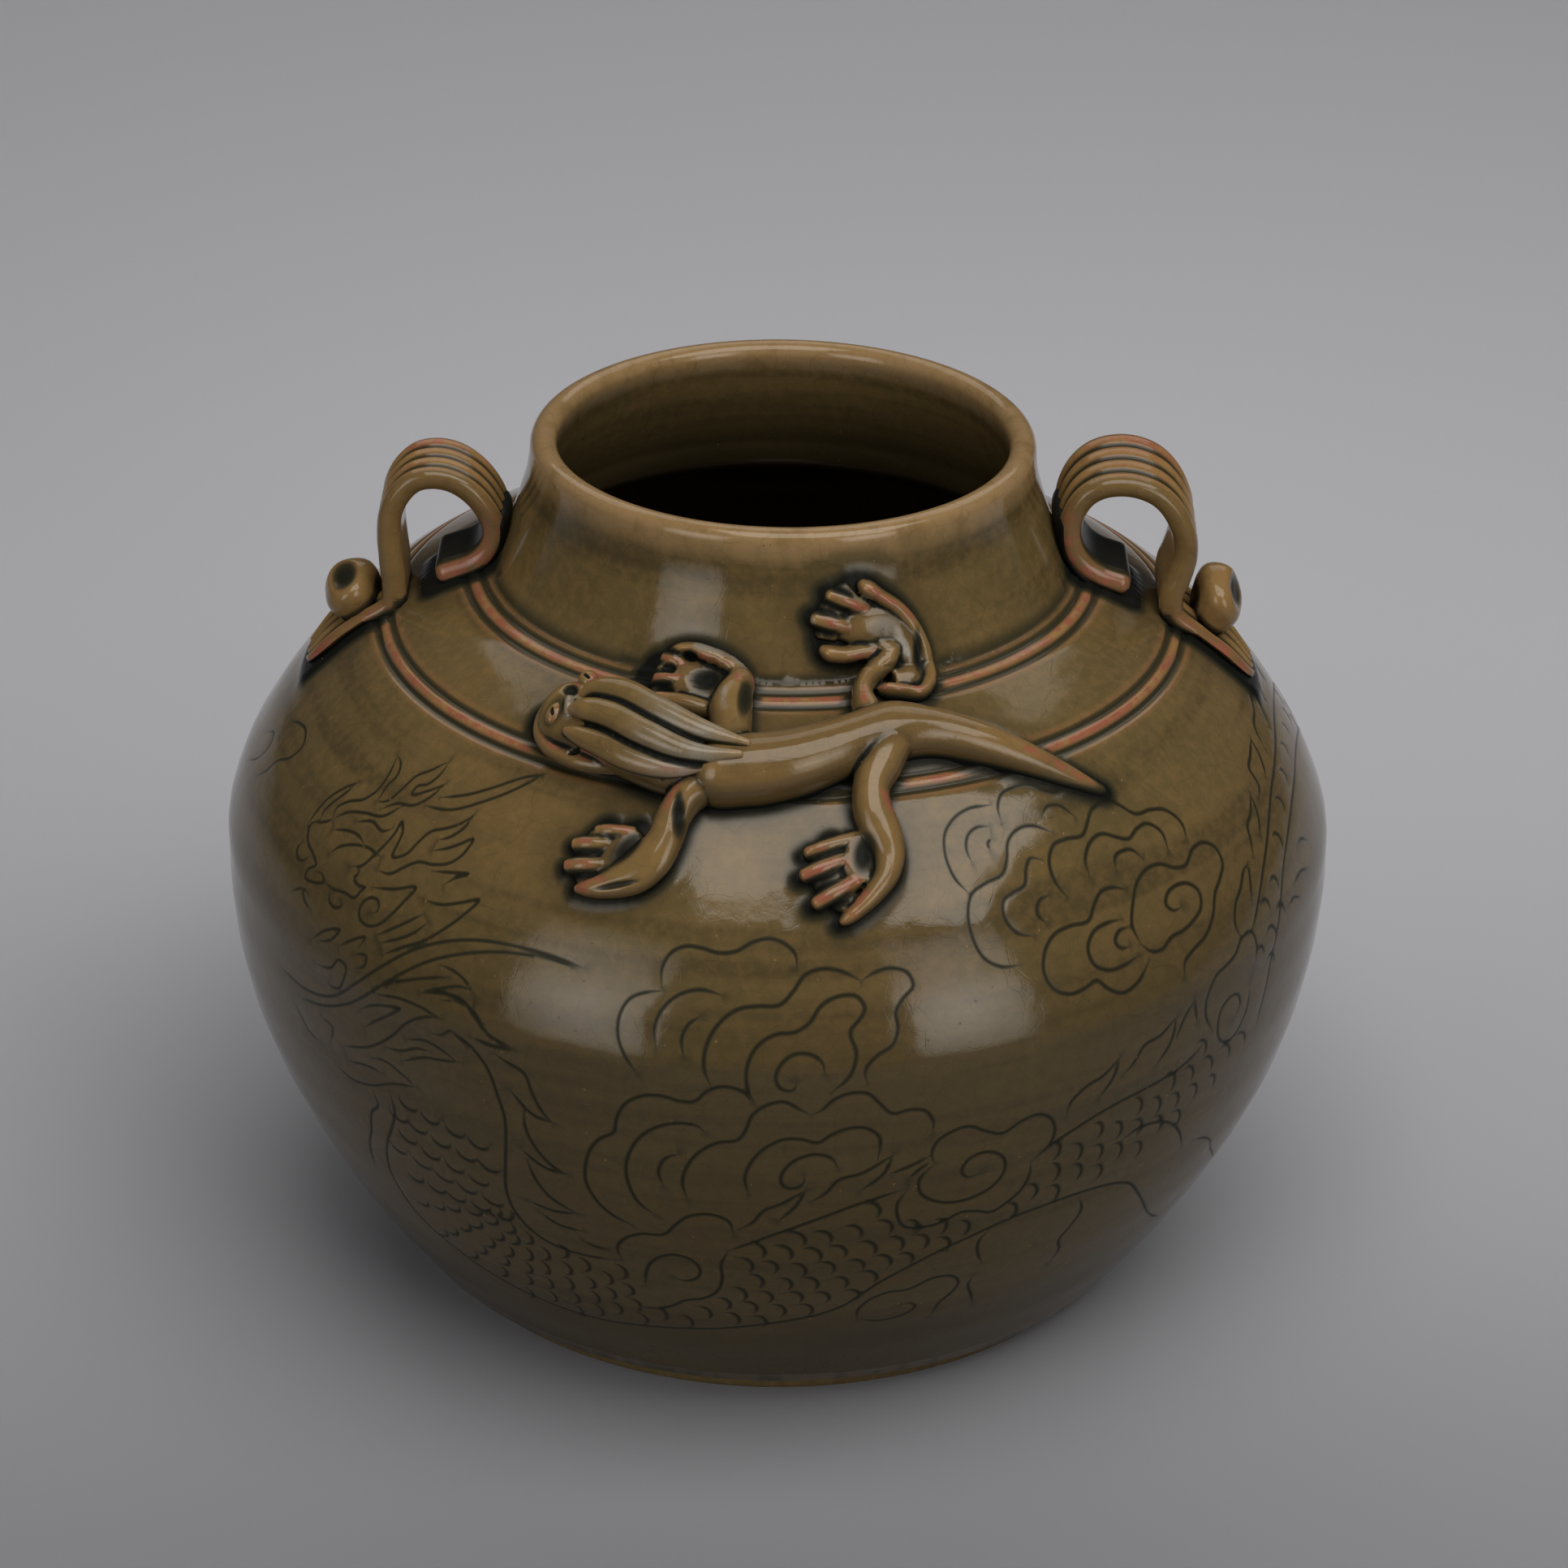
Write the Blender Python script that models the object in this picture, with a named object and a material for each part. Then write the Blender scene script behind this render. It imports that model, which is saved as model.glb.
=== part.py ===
"""Celadon shoulder jar with two curled strap handles and a relief dragon, in metres, +Z up.

The jar stands on its foot ring at z = 0 with its axis on Z. The relief dragon faces -Y and the
handles stand at -X and +X. Like the fired jar, it is put together from clay pieces that were made
one by one and luted: two thrown body halves, a neck, two straps with a pellet each, and the
rolled and pressed pieces of the dragon.

A place on the outside is given by a distance to the right of -Y, measured round the shoulder, and
a station, the length along the outer profile from the neck's base: outwards and down the shoulder
is positive, up the neck is negative. A lift is the height above that place, square to the surface.
"""

import math

import bmesh
import bpy
import numpy as np
from mathutils import Vector

# Driving sizes of the vessel.
JAR_HEIGHT = 0.180
BELLY_RADIUS = 0.115
BELLY_HEIGHT = 0.0954
BODY_START_RADIUS = 0.0829
BODY_START_HEIGHT = 0.006
NECK_BASE_RADIUS = 0.0588
NECK_HEIGHT = 0.0274
NECK_TAPER = 0.0078
WALL = 0.006
LIP_THICKNESS = 0.0054
NECK_BASE_HEIGHT = JAR_HEIGHT - NECK_HEIGHT
MOUTH_RADIUS = NECK_BASE_RADIUS - NECK_TAPER

# Shape of the two curves of the outer profile: end slopes and handle lengths.
FOOT_SLOPE = math.radians(53.2)
SHOULDER_SLOPE = math.radians(20.6)
FOOT_PULL = 0.060
BELLY_PULL_BELOW = 0.0096
BELLY_PULL_ABOVE = 0.0083
SHOULDER_PULL = 0.0464
NECK_POWER = 1.5

# Foot ring, its recessed base and the floor inside.
FOOT_RADIUS = 0.0775
FOOT_RING_WIDTH = 0.0075
FOOT_BEVEL = 0.0008
FOOT_COVE = 0.0016
BASE_RECESS = 0.0045
FLOOR_HEIGHT = 0.0108
FLOOR_FILLET = 0.010
FLOOR_ROWS = 4

# Two turned rings on the shoulder, each a pair of grooves with a thin ridge between them.
RING_STATIONS = (0.0047, 0.0255)
GROOVE_WIDTH = 0.0022
GROOVE_DEPTH = 0.0008
RING_RIDGE = 0.0012

# Joints between the pieces, and the number of steps around the axis.
GAP = 0.0003
TURN_STEPS = 52
LOWER_ROWS = 8
UPPER_ROWS = 8
INNER_LOWER_ROWS = 6
INNER_UPPER_ROWS = 6
NECK_ROWS = 4
LIP_ROWS = 6

# Strap handles: the side of each, and the height of its loop above the neck's base.
SIDES = {"left": -1, "right": 1}
STRAP_WIDTH = 0.016
STRAP_THICKNESS = 0.0048
STRAP_FOOT_THICKNESS = 0.0026
STRAP_TIP_THICKNESS = 0.0016
STRAP_RIDGES = 4
STRAP_GROOVE = 0.0009
STRAP_RINGS = 26
RIDGE_SHARES = (0.3, 0.7)
STRAP_BEVEL_SHARE = 0.25
LOOP_HEIGHTS = {"left": 0.0078, "right": 0.0092}
LOOP_RADII = {"left": 0.0107, "right": 0.0120}
FOOT_TIP_STATION = 0.0450
FOOT_BEND_STATION = 0.0300
RISER_LIFT = 0.0080
LOOP_ANGLES = (0, 30, 60, 90, 120, 150, 180)
CURL = ((0.0028, 0.0036), (0.0075, 0.0027), (0.0130, 0.0031))
PELLET_RADIUS = 0.0056
PELLET_STATION = 0.0285
PELLET_LIFT = 0.0071

# Relief dragon. Each row is how far to the right it lies, measured round the shoulder at the relief's
# station, then station, lift, half width and half height, all in relief units, here millimetres.
RELIEF_UNIT = 0.001
RELIEF_STATION = 0.020
TORSO = (
    (-16.8, 24.6, 3.0, 2.0, 2.0),
    (-13.4, 24.4, 3.0, 5.6, 5.6),
    (-6.0, 23.4, 3.2, 7.0, 6.6),
    (2.0, 21.8, 3.2, 6.6, 6.4),
    (9.4, 19.3, 3.0, 6.0, 6.0),
    (16.1, 17.0, 2.8, 5.7, 5.6),
    (22.6, 15.6, 2.6, 6.0, 5.4),
    (30.1, 16.6, 2.2, 4.9, 4.6),
    (38.6, 20.6, 1.8, 4.2, 4.0),
    (46.4, 26.4, 1.4, 3.2, 3.0),
    (52.5, 32.2, 1.0, 2.2, 2.0),
    (57.8, 37.8, 0.5, 0.9, 0.9),
)
HEAD = (
    (-12.1, 24.2, 3.0, 4.6, 4.6),
    (-18.1, 24.2, 3.2, 5.4, 5.2),
    (-25.5, 22.6, 3.4, 5.6, 5.2),
    (-32.3, 19.6, 3.4, 7.0, 5.4),
    (-38.3, 17.6, 3.2, 7.9, 5.2),
    (-43.0, 17.8, 3.0, 6.8, 4.6),
    (-46.5, 18.4, 2.6, 4.6, 3.6),
    (-48.1, 18.8, 2.2, 2.0, 2.0),
)
EYES = {"dragon_eye_lower": (-40.9, 21.2, 7.0), "dragon_eye_upper": (-39.0, 12.6, 7.0)}
EYE_RADIUS = 0.0029
MANE = {
    "dragon_mane_upper": (
        (-36.0, 14.4, 8.4, 1.0, 1.0),
        (-32.3, 14.2, 9.0, 2.5, 2.4),
        (-23.5, 16.6, 9.6, 2.7, 2.6),
        (-14.1, 19.6, 9.4, 2.2, 2.2),
        (-4.8, 21.6, 9.8, 0.7, 0.8),
    ),
    "dragon_mane_middle": (
        (-36.3, 18.4, 8.7, 1.0, 1.0),
        (-32.3, 19.0, 9.2, 2.6, 2.5),
        (-23.5, 21.7, 9.6, 2.8, 2.7),
        (-14.1, 24.0, 9.3, 2.1, 2.2),
        (-5.9, 23.8, 10.0, 0.7, 0.8),
    ),
    "dragon_mane_lower": (
        (-36.8, 22.4, 7.2, 0.9, 1.0),
        (-32.3, 24.2, 7.0, 2.2, 2.2),
        (-24.9, 26.6, 7.0, 2.3, 2.2),
        (-18.8, 27.2, 7.6, 1.8, 1.8),
        (-14.0, 26.6, 8.6, 0.6, 0.7),
    ),
}
FORELEG_UPPER = {
    "leg": (
        (-8.9, 20.0, 3.4, 3.8, 3.6),
        (-8.1, 14.0, 3.0, 3.7, 3.6),
        (-7.0, 8.0, 2.8, 3.5, 3.4),
        (-7.5, 3.2, 2.8, 3.5, 3.3),
        (-11.0, 0.6, 2.4, 3.6, 3.0),
        (-15.6, 1.0, 1.8, 3.2, 2.4),
    ),
    "palm": (
        (-11.8, 0.4, 1.7, 3.0, 2.4),
        (-14.8, 0.8, 1.8, 5.4, 2.8),
        (-18.0, 1.2, 1.7, 6.2, 2.7),
        (-21.2, 1.6, 1.4, 5.5, 2.3),
        (-23.9, 1.9, 1.0, 2.8, 1.5),
    ),
    "toes": ((-23.4, -5.0), (-28.5, -2.4), (-30.1, 2.6), (-28.0, 7.4)),
}
FORELEG_LOWER = {
    "leg": (
        (-11.6, 25.4, 3.4, 4.4, 4.0),
        (-13.4, 31.0, 3.2, 4.3, 3.9),
        (-15.6, 36.6, 2.9, 4.4, 3.7),
        (-18.3, 41.0, 2.6, 4.5, 3.3),
        (-22.3, 43.2, 1.9, 4.0, 2.6),
    ),
    "palm": (
        (-19.4, 42.4, 1.8, 3.2, 2.5),
        (-21.5, 43.2, 1.8, 5.6, 2.9),
        (-23.9, 43.7, 1.7, 6.5, 2.8),
        (-26.2, 43.8, 1.4, 5.8, 2.4),
        (-28.2, 43.7, 1.0, 2.9, 1.5),
    ),
    "toes": ((-28.8, 37.4), (-31.7, 41.4), (-31.9, 45.8), (-29.6, 49.8)),
}
HINDLEG_UPPER = {
    "leg": (
        (21.2, 17.4, 3.0, 3.8, 3.6),
        (19.6, 11.0, 2.8, 3.4, 3.4),
        (19.1, 5.8, 2.8, 3.2, 3.3),
        (22.6, 1.2, 2.8, 3.4, 3.2),
        (25.5, -3.2, 2.2, 3.5, 2.8),
        (25.3, -7.6, 1.7, 3.2, 2.3),
    ),
    "palm": (
        (32.5, -5.4, 1.5, 2.8, 2.2),
        (29.0, -7.0, 1.8, 6.2, 2.8),
        (24.7, -8.9, 1.7, 7.4, 2.7),
        (20.7, -10.6, 1.4, 6.6, 2.3),
        (17.2, -11.8, 1.0, 3.2, 1.5),
    ),
    "toes": ((12.1, -4.4), (9.1, -8.6), (10.5, -13.6), (16.4, -17.4), (24.7, -18.8)),
}
HEEL_ROLL = (
    (24.7, -16.0, 1.4, 1.5, 1.8),
    (31.4, -13.4, 1.8, 2.2, 2.8),
    (35.5, -7.4, 1.9, 2.6, 3.2),
    (35.7, -1.2, 1.9, 2.7, 3.2),
    (32.8, 4.0, 1.7, 2.4, 2.8),
    (28.0, 6.0, 1.3, 1.4, 1.7),
)
HINDLEG_LOWER = {
    "leg": (
        (21.5, 17.0, 3.2, 5.0, 4.2),
        (19.1, 23.4, 3.2, 5.0, 4.2),
        (17.5, 29.4, 3.0, 4.9, 4.0),
        (17.5, 35.0, 2.7, 4.7, 3.6),
        (15.6, 39.6, 2.1, 4.2, 2.8),
    ),
    "palm": (
        (17.3, 37.4, 1.8, 3.2, 2.5),
        (15.7, 39.8, 1.8, 5.8, 2.9),
        (13.7, 42.2, 1.7, 6.7, 2.8),
        (11.8, 44.2, 1.4, 5.9, 2.4),
        (10.2, 45.8, 1.0, 2.9, 1.5),
    ),
    "toes": ((4.8, 38.4), (3.8, 43.4), (5.4, 48.4), (9.9, 52.0)),
}
TOE_HALF_WIDTH = 1.5
TOE_HALF_HEIGHT = 1.8
TOE_LIFT = 0.9
TOE_ROWS = ((0.30, 1.0), (0.78, 1.08), (0.97, 0.85), (1.03, 0.40))
HOLLOW_RADIUS = 0.0036
HOLLOW_DEPTH = 0.0013
LIMB_SIDES = 8
TOE_SIDES = 6
BODY_SIDES = 10
RING_SPACING = 0.0030
NARROWEST = 0.0003

# Points nearer than this are one: in a new mesh, and after a cut.
SAME_POINT = 1e-7
CUT_CLEANING = 2e-5

GLAZE = (0.205, 0.165, 0.072)
GLAZE_THIN = (0.330, 0.235, 0.120)
GLAZE_ROUGHNESS = 0.16
SMOOTH_ANGLE = math.radians(38)


def clear_scene():
    """Remove every object that the file opened with."""
    for existing in list(bpy.data.objects):
        bpy.data.objects.remove(existing, do_unlink=True)


def make_material(name, colour):
    """Return a glossy glazed-clay material."""
    material = bpy.data.materials.new(name)
    material.use_nodes = True
    shader = material.node_tree.nodes["Principled BSDF"]
    shader.inputs["Base Color"].default_value = (*colour, 1.0)
    shader.inputs["Roughness"].default_value = GLAZE_ROUGHNESS
    shader.inputs["Metallic"].default_value = 0.0
    return material


def bezier(p0, p1, p2, p3, count):
    """Return count + 1 points along one cubic curve."""
    t = np.linspace(0.0, 1.0, count + 1)[:, None]
    ends = (1 - t) ** 3 * np.array(p0) + t**3 * np.array(p3)
    middle = 3 * (1 - t) ** 2 * t * np.array(p1) + 3 * (1 - t) * t**2 * np.array(p2)
    return ends + middle


def polar(length, angle):
    """Return a (radius, height) step of a length in a direction."""
    return np.array((length * math.cos(angle), length * math.sin(angle)))


def lower_curve(count):
    """Return the outer profile from the foot up to the belly."""
    start = np.array((BODY_START_RADIUS, BODY_START_HEIGHT))
    belly = np.array((BELLY_RADIUS, BELLY_HEIGHT))
    return bezier(start, start + polar(FOOT_PULL, FOOT_SLOPE), belly - (0, BELLY_PULL_BELOW), belly, count)


def upper_curve(count):
    """Return the outer profile from the belly up to the neck's base."""
    belly = np.array((BELLY_RADIUS, BELLY_HEIGHT))
    base = np.array((NECK_BASE_RADIUS, NECK_BASE_HEIGHT))
    lean = base + polar(SHOULDER_PULL, -SHOULDER_SLOPE)
    return bezier(belly, belly + (0, BELLY_PULL_ABOVE), lean, base, count)


def lip_radius():
    """Return the radius of the lip's round edge."""
    return LIP_THICKNESS / 2


def neck_radius(height):
    """Return the outer radius of the neck at a height."""
    top = JAR_HEIGHT - lip_radius()
    along = (height - NECK_BASE_HEIGHT) / (top - NECK_BASE_HEIGHT)
    flare = NECK_BASE_RADIUS - MOUTH_RADIUS
    return MOUTH_RADIUS + flare * np.clip(1.0 - along, 0.0, 1.0) ** NECK_POWER


def neck_curve(count):
    """Return the outer profile from the neck's base up to the lip."""
    heights = np.linspace(NECK_BASE_HEIGHT, JAR_HEIGHT - lip_radius(), count + 1)
    return np.column_stack((neck_radius(heights), heights))


def lengths_along(points):
    """Return the running length at each point of a line."""
    steps = np.linalg.norm(np.diff(points, axis=0), axis=1)
    return np.concatenate(([0.0], np.cumsum(steps)))


def turned_right(directions):
    """Turn (radius, height) directions a quarter to the right, which is outwards on a rising line."""
    return np.column_stack((directions[:, 1], -directions[:, 0]))


def offset_line(points, distance):
    """Shift an open line sideways, to its right, with mitred corners."""
    steps = np.diff(points, axis=0)
    steps = steps / np.linalg.norm(steps, axis=1)[:, None]
    normals = turned_right(steps)
    before = np.vstack((normals[:1], normals))
    after = np.vstack((normals, normals[-1:]))
    middle = before + after
    middle = middle / np.linalg.norm(middle, axis=1)[:, None]
    spread = np.sum(middle * before, axis=1)
    return points + middle * (distance / spread)[:, None]


class Outside:
    """The smooth outer surface of the shoulder and neck, addressed by azimuth and station."""

    SAMPLES = 400
    BLEND = 0.005
    BLEND_SAMPLES = 9

    def __init__(self):
        shoulder = upper_curve(self.SAMPLES)
        neck = neck_curve(self.SAMPLES)
        self.line = np.vstack((shoulder, neck[1:]))
        running = lengths_along(self.line)
        self.stations = running[self.SAMPLES] - running
        step = np.gradient(self.line, running, axis=0)
        self.angles = np.unwrap(np.arctan2(-step[:, 0], step[:, 1]))
        self.relief_radius = self.point(RELIEF_STATION)[0]

    def point(self, station):
        """Return the (radius, height) at a station."""
        order = self.stations[::-1]
        radius = np.interp(station, order, self.line[::-1, 0])
        height = np.interp(station, order, self.line[::-1, 1])
        return np.array((radius, height))

    def lean(self, station):
        """Return the angle of the outward normal above the horizontal, blended at the neck's base."""
        around = np.linspace(station - self.BLEND, station + self.BLEND, self.BLEND_SAMPLES)
        return float(np.mean(np.interp(around, self.stations[::-1], self.angles[::-1])))

    def lifted(self, station, lift):
        """Return the (radius, height) at a lift above a station."""
        return self.point(station) + polar(lift, self.lean(station))

    def place(self, rightward, station, lift):
        """Return the point in space of the relief at a distance to the right, a station and a lift."""
        radius, height = self.lifted(station, lift)
        return spun(radius, height, rightward / self.relief_radius)

    def normal(self, rightward, station):
        """Return the outward normal in space of the surface under the relief."""
        level, up = polar(1.0, self.lean(station))
        return spun(level, up, rightward / self.relief_radius)


def spun(radius, height, azimuth):
    """Return the point in space at a radius, a height and an azimuth."""
    return Vector((radius * math.sin(azimuth), -radius * math.cos(azimuth), height))


OUTSIDE = Outside()


def ring_rows(station, groove_depth):
    """Return the (station, depth) rows of one turned ring: two grooves beside a thin ridge."""
    rows = []
    for side in (1, -1):
        for across, depth in ((0.0, 0.0), (GROOVE_WIDTH / 2, groove_depth), (GROOVE_WIDTH, 0.0)):
            rows.append((station + side * (RING_RIDGE / 2 + across), depth))
    return rows


def shoulder_rows(groove_depth):
    """Return the outer line from the belly to the neck's base, with the rings cut to a depth."""
    belly_station = float(OUTSIDE.stations[0])
    reach = RING_RIDGE / 2 + 2 * GROOVE_WIDTH
    rows = [(0.0, 0.0), (sum(RING_STATIONS) / len(RING_STATIONS), 0.0)]
    for station in np.linspace(belly_station, 0.0, UPPER_ROWS + 1)[:-1]:
        if station > RING_STATIONS[-1] + reach:
            rows.append((float(station), 0.0))
    for station in RING_STATIONS:
        rows.extend(ring_rows(station, groove_depth))
    rows.sort(key=lambda row: -row[0])
    return np.array([OUTSIDE.lifted(station, -depth) for station, depth in rows])


def object_from(name, bm, material):
    """Turn a mesh under construction into a named object with outward faces."""
    bmesh.ops.remove_doubles(bm, verts=bm.verts, dist=SAME_POINT)
    bmesh.ops.recalc_face_normals(bm, faces=bm.faces)
    mesh = bpy.data.meshes.new(name)
    bm.to_mesh(mesh)
    bm.free()
    piece = bpy.data.objects.new(name, mesh)
    bpy.context.scene.collection.objects.link(piece)
    piece.data.materials.append(material)
    return piece


def turned(name, section, material):
    """Spin a closed (radius, height) section about the axis."""
    bm = bmesh.new()
    corners = [bm.verts.new((radius, 0.0, height)) for radius, height in section]
    edges = [bm.edges.new((a, b)) for a, b in zip(corners, corners[1:])]
    if section[0][0] > 0.0 or section[-1][0] > 0.0:
        edges.append(bm.edges.new((corners[-1], corners[0])))
    bmesh.ops.spin(
        bm,
        geom=corners + edges,
        cent=(0.0, 0.0, 0.0),
        axis=(0.0, 0.0, 1.0),
        angle=math.tau,
        steps=TURN_STEPS,
        use_merge=True,
    )
    return object_from(name, bm, material)


def inner_line():
    """Return the inside from the middle of the floor up to the neck's base."""
    outer = np.vstack((lower_curve(INNER_LOWER_ROWS), upper_curve(INNER_UPPER_ROWS)[1:]))
    inside = offset_line(outer, -WALL)
    wall = inside[inside[:, 1] > FLOOR_HEIGHT + FLOOR_FILLET]
    slope = (wall[1] - wall[0]) / np.linalg.norm(wall[1] - wall[0])
    corner = wall[0] - slope * (wall[0][1] - FLOOR_HEIGHT) / slope[1]
    reach = np.linalg.norm(wall[0] - corner)
    bend = bezier(corner - (reach, 0), corner - (reach / 3, 0), (corner + wall[0]) / 2, wall[0], FLOOR_ROWS)
    return np.vstack(([(0.0, FLOOR_HEIGHT)], bend[:-1], wall))


def lower_body(material):
    """The thrown bowl that carries the foot ring, up to the joint at the belly."""
    seam = BELLY_HEIGHT - GAP / 2
    ring_inside = FOOT_RADIUS - FOOT_RING_WIDTH
    foot = [
        (0.0, BASE_RECESS),
        (ring_inside - BASE_RECESS / 2, BASE_RECESS),
        (ring_inside, FOOT_BEVEL),
        (ring_inside + FOOT_BEVEL, 0.0),
        (FOOT_RADIUS - FOOT_BEVEL, 0.0),
        (FOOT_RADIUS, FOOT_BEVEL),
        (FOOT_RADIUS, BODY_START_HEIGHT - FOOT_COVE),
        (FOOT_RADIUS + FOOT_COVE / 2, BODY_START_HEIGHT - FOOT_COVE / 3),
    ]
    outer = lower_curve(LOWER_ROWS)
    outer[-1, 1] = seam
    inner = inner_line()
    inside = inner[inner[:, 1] < BELLY_HEIGHT - WALL / 2]
    top = (BELLY_RADIUS - WALL, seam)
    section = foot + [tuple(p) for p in outer] + [top] + [tuple(p) for p in inside[::-1]]
    return turned("lower_body", section, material)


def upper_body(material):
    """The thrown shoulder, from the joint at the belly to the neck, with its two turned rings."""
    seam = BELLY_HEIGHT + GAP / 2
    top = NECK_BASE_HEIGHT - GAP / 2
    outer = shoulder_rows(GROOVE_DEPTH)
    outer[0, 1] = seam
    outer[-1] = (NECK_BASE_RADIUS, top)
    inner = inner_line()
    inside = inner[(inner[:, 1] > BELLY_HEIGHT + WALL / 2) & (inner[:, 0] > NECK_BASE_RADIUS - WALL / 2)]
    rim = (NECK_BASE_RADIUS - WALL, top)
    throat = (NECK_BASE_RADIUS - WALL, top - WALL / 3)
    section = [tuple(p) for p in outer] + [rim, throat] + [tuple(p) for p in inside[::-1]]
    section.append((BELLY_RADIUS - WALL, seam))
    return turned("upper_body", section, material)


def neck_collar(material):
    """The thrown neck with its rounded lip."""
    bottom = NECK_BASE_HEIGHT + GAP / 2
    outer = neck_curve(NECK_ROWS)
    outer[0, 1] = bottom
    centre = (MOUTH_RADIUS - lip_radius(), JAR_HEIGHT - lip_radius())
    turn = np.linspace(0.0, math.pi, LIP_ROWS + 1)
    lip = [tuple(centre + polar(lip_radius(), angle)) for angle in turn]
    inside = offset_line(neck_curve(NECK_ROWS), -LIP_THICKNESS)[1:-1]
    throat = (NECK_BASE_RADIUS - WALL, bottom)
    section = [tuple(p) for p in outer[:-1]] + lip + [tuple(p) for p in inside[::-1]] + [throat]
    return turned("neck_collar", section, material)


def vessel_core(material):
    """The whole outer form with the joint gap around it, as a cutter for what is luted on."""
    outer = np.vstack((lower_curve(LOWER_ROWS), shoulder_rows(0.0)[1:], neck_curve(NECK_ROWS)[1:]))
    shifted = offset_line(outer, GAP)
    section = [(0.0, BODY_START_HEIGHT)] + [tuple(p) for p in shifted] + [(0.0, JAR_HEIGHT)]
    return as_cutter(turned("vessel_core", section, material))


def as_cutter(piece):
    """Mark an object as a tool that only cuts others."""
    piece.hide_render = True
    piece.display_type = "WIRE"
    return piece


def smooth_rows(keys, running, count):
    """Read count rows, evenly spaced by running length, from a smooth line through rows of keys."""
    slopes = np.gradient(keys, running, axis=0)
    rows = []
    for along in np.linspace(0.0, running[-1], count):
        k = min(max(int(np.searchsorted(running, along)) - 1, 0), len(keys) - 2)
        span = running[k + 1] - running[k]
        t = (along - running[k]) / span
        start = (2 * t**3 - 3 * t**2 + 1) * keys[k] + (t**3 - 2 * t**2 + t) * span * slopes[k]
        end = (3 * t**2 - 2 * t**3) * keys[k + 1] + (t**3 - t**2) * span * slopes[k + 1]
        rows.append(start + end)
    return np.array(rows)


def smooth_on_surface(keys):
    """Smooth the rows of a roll, with a row about every RING_SPACING."""
    keys = np.array(keys) * RELIEF_UNIT
    running = lengths_along(keys[:, :2])
    count = max(len(keys), int(round(running[-1] / RING_SPACING)) + 1)
    return smooth_rows(keys, running, count)


def skin(bm, rings):
    """Join closed rings of points into a tube of flat faces and close its two ends."""
    loops = [[bm.verts.new(point) for point in ring] for ring in rings]
    for near, far in zip(loops, loops[1:]):
        for k in range(len(near)):
            after = (k + 1) % len(near)
            bm.faces.new((near[k], near[after], far[after], far[k]))
    bm.faces.new(loops[0][::-1])
    bm.faces.new(loops[-1])
    bmesh.ops.triangulate(bm, faces=bm.faces)


def roll(name, keys, sides, material, extra=0.0):
    """Model a rolled piece of clay that follows the surface through rows of keys."""
    rows = smooth_on_surface(keys)
    centres = [OUTSIDE.place(*row[:3]) for row in rows]
    rings = []
    for k, row in enumerate(rows):
        tangent = (centres[min(k + 1, len(rows) - 1)] - centres[max(k - 1, 0)]).normalized()
        normal = OUTSIDE.normal(row[0], row[1])
        across = tangent.cross(normal).normalized()
        upward = across.cross(tangent).normalized()
        overshoot = extra * ((k == len(rows) - 1) - (k == 0))
        centre = centres[k] + tangent * overshoot
        wide = max(row[3], NARROWEST) + extra
        high = max(row[4], NARROWEST) + extra
        angles = [math.tau * n / sides for n in range(sides)]
        rings.append([centre + across * (wide * math.cos(a)) + upward * (high * math.sin(a)) for a in angles])
    bm = bmesh.new()
    skin(bm, rings)
    return object_from(name, bm, material)


def settle(piece):
    """Make a piece's modifier part of its mesh and clean what it leaves behind."""
    graph = bpy.context.evaluated_depsgraph_get()
    settled = bpy.data.meshes.new_from_object(piece.evaluated_get(graph))
    piece.modifiers.clear()
    piece.data = settled
    bm = bmesh.new()
    bm.from_mesh(settled)
    bmesh.ops.remove_doubles(bm, verts=bm.verts, dist=CUT_CLEANING)
    bmesh.ops.dissolve_degenerate(bm, edges=bm.edges, dist=CUT_CLEANING / 2)
    bm.to_mesh(settled)
    bm.free()


def combine(piece, others, operation):
    """Join other solids to a piece, or cut them out of it, one after the other."""
    for other in others:
        step = piece.modifiers.new(operation.title(), "BOOLEAN")
        step.operation = operation
        step.solver = "EXACT"
        step.use_self = operation == "UNION"
        step.object = other
        settle(piece)


def discard(tools):
    """Remove solids that were only needed to shape others."""
    for tool in tools:
        bpy.data.objects.remove(tool, do_unlink=True)


def toe_keys(palm, tip):
    """Return the rows of one toe, from inside the paw to its tip."""
    middle = palm[len(palm) // 2]
    rows = []
    for share, slim in TOE_ROWS:
        rightward = middle[0] + (tip[0] - middle[0]) * share
        station = middle[1] + (tip[1] - middle[1]) * share
        rows.append((rightward, station, TOE_LIFT, TOE_HALF_WIDTH * slim, TOE_HALF_HEIGHT * slim))
    return rows


def limb(name, shape, extra_rolls, trims, material):
    """Model one leg with its paw and toes, seated on the vessel and against the torso."""
    piece = roll(name, shape["leg"], LIMB_SIDES, material)
    palm = shape["palm"]
    added = [roll("palm", palm, LIMB_SIDES, material)]
    added.extend(roll("toe", toe_keys(palm, tip), TOE_SIDES, material) for tip in shape["toes"])
    added.extend(roll("heel", keys, LIMB_SIDES, material) for keys in extra_rolls)
    combine(piece, added, "UNION")
    rightward, station, lift, _, height = np.array(palm[len(palm) // 2]) * RELIEF_UNIT
    above = lift + height + HOLLOW_RADIUS - HOLLOW_DEPTH
    hollow = ball("hollow", OUTSIDE.place(rightward, station, above), HOLLOW_RADIUS, material)
    combine(piece, [hollow, *trims], "DIFFERENCE")
    discard([hollow, *added])
    return piece


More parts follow.
